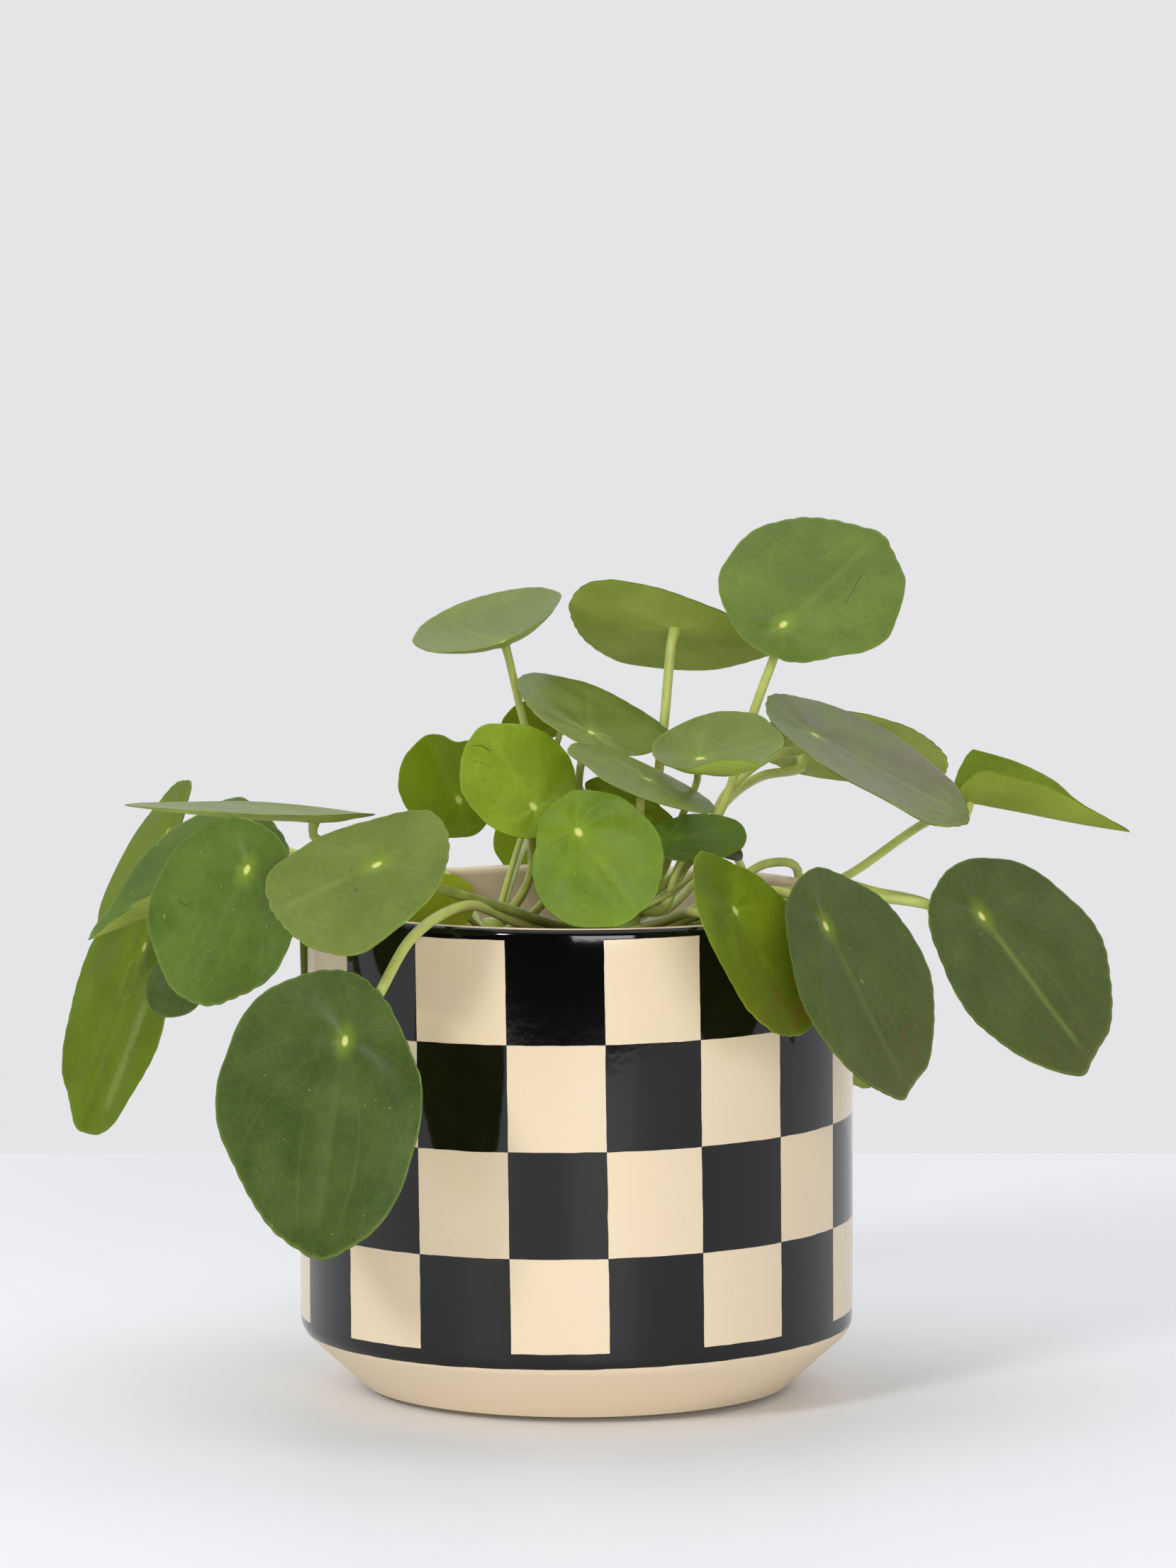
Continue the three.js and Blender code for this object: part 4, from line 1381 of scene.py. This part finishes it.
# The first thirty show from the front, some only in part; the last five are on the far side.
LEAVES = (
    Leaf("leaf_01", (0.63, 0.57, 0.53), "main", 12, 1.5,
         ((23, 0, 130), (28, 2, 142), (38.5, 2, 156), (48, -4, 185)), Tone.CREASED, blush=0.1),
    Leaf("leaf_02", (1, -0.21, -0.13), "main", 14, 1.6,
         ((18, 5, 136), (21, 18, 154), (24, 30, 179)), Tone.LIT, crease=0.5),
    Leaf("leaf_03", (-0.6, 0.75, 0.1), "main", 12, 1.3,
         ((3, 5, 134), (-5, 15, 152), (-14, 18, 178)), Tone.OLIVE),
    Leaf("leaf_04", (-0.04, 0.97, 0.23), "main", 10, 1.3, ((4, -3, 138), (0.5, -10, 163)), Tone.OLIVE),
    Leaf("leaf_05", (-0.6, -0.4, 0.1), "side", 12, 1, ((-16, 14, 145), (-9, 26, 163)), Tone.THIN),
    Leaf("leaf_06", (1, 0.45, 0.12), "main", 11, 1.2,
         ((22, 0, 138), (28, -6, 155), (32, -24, 167)), Tone.OLIVE),
    Leaf("leaf_07", (-0.93, -0.1, 0.4), "main", 9, 1.3, ((14, -18, 135), (17, -38, 150)), Tone.OLIVE),
    Leaf("leaf_08", (0.87, 0.1, -0.47), "main", 9, 1.6,
         ((31, 6, 143), (41, 2, 162), (52, -3, 172)), Tone.BRONZED, blush=0.5),
    Leaf("leaf_09", (0.98, 0, -0.03), "main", 7, 1.6,
         ((23, 6, 132), (31, 16, 142.5), (40, 32, 155), (51, 50, 161)), Tone.OLIVE),
    Leaf("leaf_10", (0.97, 0.05, -0.3), "main", 5, 1.4,
         ((28, -5, 126), (61, -1, 134), (73.5, 6, 138.7), (97, 23, 152)), Tone.RUSTY, blush=0.8),
    Leaf("leaf_11", (-0.45, 0.3, 0.85), "side", 10, 1.1,
         ((-13, 14, 136), (-15, 25, 153), (-24, 28, 159)), Tone.THIN),
    Leaf("leaf_12", (-0.5, 0.35, 0.8), "side", 12, 1.4,
         ((-17, -2, 131), (-12, -10, 142)), Tone.SCRATCHED, crease=1.4),
    Leaf("leaf_13", (0.6, -0.12, -0.78), "side", 8, 1.4, ((-15, -10, 128), (-9, -26, 135)), Tone.YOUNG),
    Leaf("leaf_14", (1, 0.67, 0.18), "main", 10, 1.2, ((20, -11, 138),), Tone.GLOSSY),
    Leaf("leaf_15", (0.95, 0, -0.1), "main", 8, 0.9, ((26, -8, 136),), Tone.BROWNED, blush=0.5),
    Leaf("leaf_16", (0.42, 0, -0.8), "main", 3, 1.5,
         ((22, -30, 130), (31, -62, 137)), Tone.RUSTY, blush=0.9),
    Leaf("leaf_17", (0.45, 0, -0.89), "main", 1, 1.6,
         ((27, -14, 128), (44, -25, 137), (54, -33, 139), (61, -46, 137), (64, -64, 135.5)),
         Tone.BLOTCHED, blush=0.5, full=True),
    Leaf("leaf_18", (0.6, -0.06, -0.8), "main", 3, 1.6,
         ((33, -12, 130), (57, -18, 135), (71, -20, 136.6), (83, -22, 135.8), (95, -24, 134)),
         Tone.PALE_RIB, blush=0.3, full=True),
    Leaf("leaf_19", (-0.43, 0.03, -0.9), "side", 4, 1.5,
         ((-36, -14, 130), (-59, -32, 142), (-76, -46, 149)), Tone.CRACKED, crease=2.6),
    Leaf("leaf_20", (-0.9, -0.05, -0.42), "main", 6, 1.6,
         ((-3, -20, 128), (-19, -41, 135.5), (-37, -63, 143.5)), Tone.SPECKLED, shade=0.8),
    Leaf("leaf_21", (-0.06, 0, -0.97), "main", 2, 1.7,
         ((-14, -30, 130), (-29, -56, 138), (-43, -78, 132), (-51, -87, 119)), Tone.DARK, shade=0.0),
    Leaf("leaf_22", (-1, 0, 0.06), "side", 7, 1.4,
         ((-41, -7, 135), (-58, -17, 148)), Tone.OLIVE, blush=0.3),
    Leaf("leaf_23", (-0.19, 0.1, -0.95), "side", 1, 1.5,
         ((-46, 10, 129), (-70, 18, 138), (-86, 22, 133.5), (-104, 26, 123)), Tone.WATER_MARKED),
    Leaf("leaf_24", (-0.48, 0.6, -0.64), "side", 5, 1.3,
         ((-47, 29, 135), (-59, 40, 137.5), (-76, 54, 138.5), (-98, 69, 145)), Tone.THIN),
    Leaf("leaf_25", (-0.9, 0, -0.43), "side", 6, 1.3,
         ((-48, 5, 132), (-68, 7, 137.5), (-80, 8.5, 135.5)), Tone.GROWN),
    Leaf("leaf_26", (-0.4, 0, -0.9), "side", 1, 1.1,
         ((-48, -10, 129), (-70, -17, 137.5), (-95, -28, 130)), Tone.DARK),
    Leaf("leaf_27", (-0.6, -0.2, -0.7), "side", 3, 1, ((-26, -16, 127),), Tone.YELLOWED),
    Leaf("leaf_28", (0, 0.1, -1), "side", 6, 1.2, ((-18, 30, 134), (-12, 66, 145)), Tone.THIN),
    Leaf("leaf_29", (-0.2, 0.1, -0.95), "main", 4, 1.5,
         ((30, 18, 127), (45, 32, 135), (53, 42, 137.8), (60.5, 48, 136), (61.5, 48.5, 124))),
    Leaf("leaf_30", (-0.9, 0.2, 0.3), "main", 13, 1, ((13, -6, 145),), Tone.THIN),
    Leaf("leaf_31", (0, 0.25, -0.97), "main", 3, 1.5, ((8, 35, 130), (3, 66, 138), (1, 82, 132))),
    Leaf("leaf_32", (-0.2, 0.2, -0.95), "side", 2, 1.4, ((-31, 35, 129), (-43, 62, 138), (-48, 76, 132))),
    Leaf("leaf_33", (0.2, 0.2, -0.95), "main", 1, 1.4, ((28, 38, 128), (41, 61, 139), (47, 79, 129))),
    Leaf("leaf_34", (0.5, 0.3, -0.8), "main", 2, 1.4,
         ((38, 4, 129), (70, 10, 136.2), (81, 12.5, 133.6), (97, 18, 128.9))),
    Leaf("leaf_35", (-0.6, 0.5, -0.6), "side", 3, 1.3, ((-42, 18, 129), (-64, 33, 138), (-80, 42, 132))),
)


@dataclass(frozen=True)
class BladeCraft:
    """How every blade is drawn finer than its solid. Sizes are in millimetres.

    Attributes:
        solid_shares: how far out towards the edge the solid's rings lie, from 0 to 1.
        shares: the same for the fine blade's rings.
        spokes: points round the blade.
        large: the mean radius from which a blade gets `large_spokes` instead.
        edge_roll: how far the rolled edge swells out, as a share of its thickness.
        inset: how far out the fine blade goes, as a share of the solid.
        tooth_start: the share of the way out where the teeth begin to show.
        groove_start: how far from the stalk the midrib's groove has its full depth.
        groove_end: the share of the way out where it ends, after fading over groove_fade.
        ripple: the edge's wave on a blade of the radius ripple_size.
    """

    solid_shares: tuple[float, ...] = (0.0, 0.42, 0.75, 1.0)
    shares: tuple[float, ...] = (
        0.04, 0.09, 0.16, 0.25, 0.36, 0.48, 0.6, 0.71, 0.81, 0.89, 0.95, 0.985, 1.0
    )
    spokes: int = 144
    large_spokes: int = 216
    large: float = 24.0
    thickness: float = 0.75
    edge_thickness: float = 0.38
    edge_roll: float = 0.4
    inset: float = 0.985
    tooth_pitch: float = 5.0
    tooth_depth: float = 0.4
    tooth_start: float = 0.8
    dimple_depth: float = 0.45
    dimple_radius: float = 2.2
    groove_start: float = 6.0
    groove_end: float = 0.95
    groove_fade: float = 0.3
    groove_depth: float = 0.3
    groove_width: float = 1.8
    bulge_depth: float = 0.42
    ripple: float = 0.5
    ripple_size: float = 28.0


@dataclass
class BladeForm:
    """A blade's form as its faceted solid gives it: its axes, and rings of points in them.

    Attributes:
        seat: the middle of the upper face, over the stalk.
        axes: three rows: towards the tip, to its left, and up from the upper face.
        rings: for the seat and each ring out to the edge, a point on every spoke.
    """

    seat: np.ndarray
    axes: np.ndarray
    rings: np.ndarray

    @classmethod
    def read(cls, solid: bpy.types.Object, points: Sequence[float], stalks: KDTree) -> "BladeForm":
        """Reads the form from a solid.

        Args:
            solid: the blade's node, a fan of spokes and rings on both faces.
            points: the way that its tip lies.
            stalks: the vertices of all stalks, which tell the lower face from the upper.

        Returns:
            The form, with the first spoke at the tip.
        """
        # Vertices that round to the same micrometre are one corner of the solid.
        places: list[np.ndarray] = []
        number: dict[tuple[int, ...], int] = {}
        names = []
        for vertex in solid.data.vertices:
            key = tuple(round(axis * 1e6) for axis in vertex.co)
            if key not in number:
                number[key] = len(places)
                places.append(np.array(vertex.co))
            names.append(number[key])
        beside: list[set[int]] = [set() for _ in places]
        for face in solid.data.polygons:
            loop = [names[i] for i in face.vertices]
            for a, b in zip(loop, loop[1:] + loop[:1]):
                beside[a].add(b)
                beside[b].add(a)
        # The two corners with the most neighbours are the middles of the two faces.
        hubs = sorted(range(len(places)), key=lambda i: -len(beside[i]))[:2]
        lower, upper = sorted(hubs, key=lambda i: stalks.find(places[i])[2])
        seat, underside = places[upper], places[lower]
        up = (seat - underside) / np.linalg.norm(seat - underside)
        tip = np.array(points) - up * np.dot(points, up)
        tip /= np.linalg.norm(tip)
        axes = np.array([tip, np.cross(up, tip), up])
        rings, seen, last = [], {upper}, {upper}
        while len(rings) < len(BladeCraft.solid_shares) - 1:
            last = set().union(*(beside[i] for i in last)) - seen
            seen |= last
            local = np.array([axes @ (places[i] - seat) for i in last])
            # A tip spoke that lies a hair to the right of the axis still sorts first.
            turn = (np.arctan2(local[:, 1], local[:, 0]) + 0.04) % (2 * math.pi)
            rings.append(local[np.argsort(turn)])
        return cls(seat, axes, np.array([np.zeros_like(rings[0]), *rings]))


@dataclass
class LeafBlade:
    """One fine blade, from the form of its solid."""

    leaf: Leaf
    form: BladeForm
    limits: Sequence[Vector]
    craft: BladeCraft = BladeCraft()

    def filled(self) -> np.ndarray:
        """Fills the hollows of the solid's rings beside the tip out to straight chords.

        Returns:
            The filled rings.
        """
        rings = self.form.rings.copy()
        x, y = rings[-1, :, 0], rings[-1, :, 1]
        grown = np.ones(len(x))
        # Each pass lifts a hollow's points to the chord between their neighbours.
        for _ in range(8):
            ax, ay = np.roll(x * grown, 1), np.roll(y * grown, 1)
            run, climb = np.roll(x * grown, -1) - ax, np.roll(y * grown, -1) - ay
            grown = np.maximum(grown, (ax * climb - ay * run) / (x * climb - y * run))
        rings[..., :2] *= grown[None, :, None]
        return rings

    def outline(self, seed: int) -> tuple[np.ndarray, np.ndarray]:
        """Spreads the solid's rings over fine spokes and rings, in the blade's own axes.

        Args:
            seed: tells this blade's small teeth from another's.

        Returns:
            Points as rings by spokes by three, in metres, and each spoke's turn.
        """
        craft = self.craft
        rings = self.filled() if self.leaf.full else self.form.rings
        coarse = rings.shape[1]
        size = np.linalg.norm(rings[-1, :, :2], axis=1).mean() / MM
        spokes = craft.large_spokes if size > craft.large else craft.spokes
        spots = np.arange(spokes) * coarse / spokes
        base = np.floor(spots).astype(int)
        f = (spots - base)[None, :, None]
        p0, p1, p2, p3 = (rings[:, (base + k) % coarse] for k in (-1, 0, 1, 2))
        bend, twist = 2 * p0 - 5 * p1 + 4 * p2 - p3, 3 * p1 - p0 - 3 * p2 + p3
        round_rings = 0.5 * (2 * p1 + (p2 - p0) * f + bend * f**2 + twist * f**3)
        known = craft.solid_shares
        weights = [
            [
                math.prod((share * craft.inset - s) / (own - s) for s in known if s != own)
                for own in known
            ]
            for share in craft.shares
        ]
        fine = np.einsum("ki,ijc->kjc", np.array(weights), round_rings)
        turns = np.arange(spokes) * 2 * math.pi / spokes
        edge = fine[-1]
        run = np.linalg.norm(np.roll(edge, -1, axis=0) - edge, axis=1)
        walked = np.concatenate(([0.0], np.cumsum(run)[:-1]))
        teeth = max(8, round(run.sum() / (craft.tooth_pitch * MM)))
        rng = random.Random(seed)
        slow = sum(
            rng.uniform(0.2, 0.5) * np.sin(k * turns + rng.uniform(0, 6.3)) for k in (3, 5, 7)
        )
        phase = math.pi * teeth * walked / run.sum() + 0.8 * slow
        notch = 1 - np.abs(np.sin(phase))
        uneven = 0.6 + 0.4 * np.sin(2 * turns + seed)
        depth = craft.tooth_depth * MM * min(1.0, size / craft.large) ** 2 * notch * uneven
        out = np.linalg.norm(edge[:, :2], axis=1)
        for ring, share in enumerate(craft.shares):
            near = max(0.0, (share - craft.tooth_start) / (1 - craft.tooth_start))
            fine[ring, :, :2] *= (1 - near * depth / out)[:, None]
        return fine, turns

    def relief(self, fine: np.ndarray, turns: np.ndarray, seed: int) -> np.ndarray:
        """How far the upper face rises at each point: dimple, grooves, swells and ripple.

        Args:
            fine: points as rings by spokes by three.
            turns: each spoke's turn.
            seed: tells this blade's swells from another's.

        Returns:
            Heights as rings by spokes, in metres.
        """
        craft = self.craft
        rng = random.Random(seed * 7 + 1)
        x, y = fine[..., 0], fine[..., 1]
        share = np.array(craft.shares)[:, None]
        away = np.hypot(x, y)
        dimple = -craft.dimple_depth * np.exp(-((away / (craft.dimple_radius * MM)) ** 2))
        along = np.clip(x / (craft.groove_start * MM), 0, 1)
        along = along * np.clip((craft.groove_end - share) / craft.groove_fade, 0, 1)
        groove_depth = craft.groove_depth * self.leaf.crease
        groove = -groove_depth * along * np.exp(-((y / (craft.groove_width * MM)) ** 2))
        turn = np.abs(np.arctan2(y, x))
        comb = np.cos((turn + 0.5 * share) * SIDE_VEINS * math.pi / 2)
        swell = craft.bulge_depth * comb * np.sin(math.pi * np.clip(share, 0, 1)) * 0.5
        ripple = sum(
            rng.uniform(-1, 1) * np.sin(k * turns + rng.uniform(0, 6.3)) / math.sqrt(k)
            for k in (2, 3, 4, 6)
        )
        size = np.linalg.norm(fine[-1, :, :2], axis=1).mean() / (craft.ripple_size * MM)
        wave = craft.ripple * size * ripple[None, :] * share**3
        return (dimple + groove + swell + wave) * MM

    def build(self, finishes: Sequence[Material]) -> None:
        """Builds the closed blade with its upper face, underside and rolled edge.

        Args:
            finishes: the materials of those three, in that order.
        """
        craft = self.craft
        seed = int(self.leaf.node[-2:])
        fine, turns = self.outline(seed)
        rise = self.relief(fine, turns, seed)
        shares = np.array(craft.shares)
        thick = craft.thickness + (craft.edge_thickness - craft.thickness) * shares**2
        upper = fine.copy()
        upper[..., 2] += rise
        lower = upper.copy()
        lower[..., 2] -= thick[:, None] * MM
        roll = (upper[-1] + lower[-1]) / 2
        out = np.linalg.norm(roll[:, :2], axis=1)
        roll[:, :2] *= (1 + craft.edge_roll * craft.edge_thickness * MM / out)[:, None]
        sunk = craft.dimple_depth * MM
        hub = np.array([[0, 0, -sunk], [0, 0, -sunk - craft.thickness * MM]])
        count, rings = len(turns), len(craft.shares)
        local = np.vstack((hub, upper.reshape(-1, 3), lower.reshape(-1, 3), roll))
        first_upper, first_lower = 2, 2 + rings * count
        first_roll = first_lower + rings * count
        faces: Faces = []
        slots: list[int] = []
        last = (rings - 1) * count
        for i in range(count):
            j = (i + 1) % count
            faces.append((0, first_upper + i, first_upper + j))
            faces.append((1, first_lower + j, first_lower + i))
            slots += [0, 1]
            for ring in range(0, last, count):
                a, b = first_upper + ring, first_upper + ring + count
                faces.append((a + i, b + i, b + j, a + j))
                a, b = first_lower + ring, first_lower + ring + count
                faces.append((a + j, b + j, b + i, a + i))
                slots += [0, 1]
            top, bottom = first_upper + last, first_lower + last
            faces.append((top + i, first_roll + i, first_roll + j, top + j))
            faces.append((first_roll + i, bottom + i, bottom + j, first_roll + j))
            slots += [2, 2]
        points = local @ self.form.axes + self.form.seat
        points = np.clip(points, *(np.array(corner) for corner in self.limits))
        name = "blade_" + self.leaf.node[-2:]
        blade = make_mesh(name, points, faces, finishes, slots)
        plan = local.copy()
        face_shares = np.repeat(shares, count)
        plan[:, 2] = np.concatenate(([0, 0], face_shares, face_shares, np.ones(count)))
        mark(blade, "plan", plan)
        near_tip = np.clip(local[:, 0] / max(local[:, 0]), 0, 1) ** 2
        mark(blade, "blush", self.leaf.blush * near_tip)
        fit(blade, "leaf", self.leaf.node)


@dataclass
class LeafyStem:
    """A trunk with its green head and the stalks that grow from it. Sizes are in millimetres.

    Attributes:
        slenderness: a stalk's radius away from its ends, as a share of the leaf's own.
        flares: how much more it gets at its base and under its blade, and over what length.
        base_shade: how much more olive a stalk is at its base, and over what length.
    """

    name: str
    x: float
    y: float
    radius: float
    bottom: float = 86.0
    top: float = 119.0
    scar_pitch: float = 5.5
    ridge: float = 0.45
    ridge_inset: float = 0.3
    lump_pitch: float = 3.5
    lump_depth: float = 0.4
    ring_step: float = 0.5
    trunk_sides: int = 40
    head_height: float = 17.0
    head_rings: int = 14
    head_sides: int = 28
    head_shade: float = 0.55
    lowest_stalk: float = 1.5
    rise_step: float = 0.9
    stalk_gap: float = 0.3
    blade_thickness: float = 0.8
    approach: float = 3.5
    route_step: float = 1.8
    stalk_sides: int = 14
    slenderness: float = 0.84
    flares: tuple[tuple[float, float], ...] = ((0.36, 7.0), (0.34, 1.4))
    base_shade: tuple[float, float] = (0.25, 14.0)

    def build_trunk(self, bark: Material) -> None:
        """Turns the bare trunk, with a ridge where each old leaf fell.

        Args:
            bark: the trunk's material.
        """
        heights = np.arange(self.bottom, self.top + self.ring_step / 50, self.ring_step)
        turns = (heights - self.bottom) / self.scar_pitch * 2 * math.pi
        radii = self.radius - self.ridge_inset + self.ridge * np.cos(turns) ** 3
        centre = np.array([self.x * MM, self.y * MM])
        profile = [(r * MM, z * MM) for r, z in zip(radii, heights)]
        points, faces = turned(profile, self.trunk_sides, tuple(centre))
        lumps = ruffle(points, self.lump_pitch * MM, self.lump_depth * MM, seed=len(self.name))
        outward = points[:, :2] - centre
        lengths = np.hypot(outward[:, 0], outward[:, 1])
        points[:, :2] += outward * (lumps / lengths)[:, None]
        trunk = make_mesh("bark_" + self.name, points, faces, [bark])
        fit(trunk, "trunk", "trunk_" + self.name)

    def route(self, leaf: Leaf, form: BladeForm) -> np.ndarray:
        """Draws a stalk's centreline.

        Args:
            leaf: the leaf that it carries.
            form: the form of the leaf's blade.

        Returns:
            The points from inside the head to the blade's underside, in metres.
        """
        start_z = self.top + self.stalk_gap + self.lowest_stalk + self.rise_step * leaf.rise
        up = Vector(form.axes[2])
        meets = Vector(form.seat) - up * (self.blade_thickness + self.stalk_gap) * MM
        knots = [Vector((self.x, self.y, start_z)) * MM]
        knots += [Vector(point) * MM for point in leaf.via]
        knots += [meets - up * self.approach * MM, meets]
        line = even_route(knots, self.route_step * MM)
        last = np.array(meets + up * (self.stalk_gap + 0.2) * MM)
        return np.vstack((line, last))

    def build_stalks(self, forms: dict[str, BladeForm], skin: Material) -> None:
        """Builds the head and its stalks as one piece, each flared at both ends.

        Args:
            forms: the forms of all blades by their nodes.
            skin: the stalks' material.
        """
        base = self.top + self.stalk_gap
        profile = [
            (
                self.radius * (1.02 - 0.6 * max(0.0, share - 0.45) ** 1.2) * MM,
                (base + self.head_height * share) * MM,
            )
            for share in np.linspace(0, 1, self.head_rings)
        ]
        points, all_faces = turned(profile, self.head_sides, (self.x * MM, self.y * MM))
        bodies, start = [points], len(points)
        none, shade = np.zeros(start), np.full(start, self.head_shade)
        skins = [np.column_stack((none, points[:, 2], shade))]
        for leaf in (leaf for leaf in LEAVES if leaf.stem == self.name):
            line = self.route(leaf, forms[leaf.node])
            run = travelled(line)
            left = run[-1] - run
            widths = np.full(len(run), self.slenderness)
            for (more, length), far in zip(self.flares, (run, left)):
                widths += more * np.exp(-far / (length * MM))
            body, body_faces, around = tube(line, leaf.stalk * MM * widths, self.stalk_sides)
            bodies.append(body)
            all_faces += [tuple(start + i for i in face) for face in body_faces]
            start += len(body)
            far = np.repeat(run, self.stalk_sides)
            more, length = self.base_shade
            shade = leaf.shade + more * np.exp(-far / (length * MM))
            skins.append(np.column_stack((around, far, shade)))
        stalks = make_mesh("stalks_of_" + self.name, np.vstack(bodies), all_faces, [skin])
        mark(stalks, "skin", np.vstack(skins))
        fit(stalks, "stalk", "stalks_" + self.name)


@dataclass
class Pilea:
    """The whole plant: two leafy stems and all their blades."""

    stems: tuple[LeafyStem, ...] = (
        LeafyStem("main", 12.0, -3.0, 5.2),
        LeafyStem("side", -22.0, 3.0, 4.4, top=113.0, head_height=14.0),
    )

    def build(self, nodes: dict[str, bpy.types.Object], limits: Sequence[Vector]) -> None:
        """Builds the plant from the frame's solids.

        Args:
            nodes: the frame's nodes by name.
            limits: the lowest and highest corners of all solids, which no blade passes.
        """
        ends = [v.co for stem in self.stems for v in nodes["stalks_" + stem.name].data.vertices]
        tree = KDTree(len(ends))
        for i, place in enumerate(ends):
            tree.insert(place, i)
        tree.balance()
        forms = {leaf.node: BladeForm.read(nodes[leaf.node], leaf.points, tree) for leaf in LEAVES}
        bark, skin = CorkyBark().material(), StalkSkin().material()
        for stem in self.stems:
            stem.build_trunk(bark)
            stem.build_stalks(forms, skin)
        finishes = {
            tone: [tone.value.upper_face(), tone.value.under_face(), tone.value.margin_edge()]
            for tone in Tone
        }
        for leaf in LEAVES:
            LeafBlade(leaf, forms[leaf.node], limits).build(finishes[leaf.tone])


def main() -> None:
    """Builds the studio, the pot, the soil and the plant, and keeps every blade within the solids'
    bounds.
    """
    logging.basicConfig(level=logging.INFO, format="%(name)s: %(message)s")
    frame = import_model()
    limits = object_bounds()
    Studio().build()
    GlazedPot().build()
    PottingSoil().build()
    Pilea().build(frame["nodes"], limits)
    log.info("sizes kept")


if __name__ == "__main__":
    main()
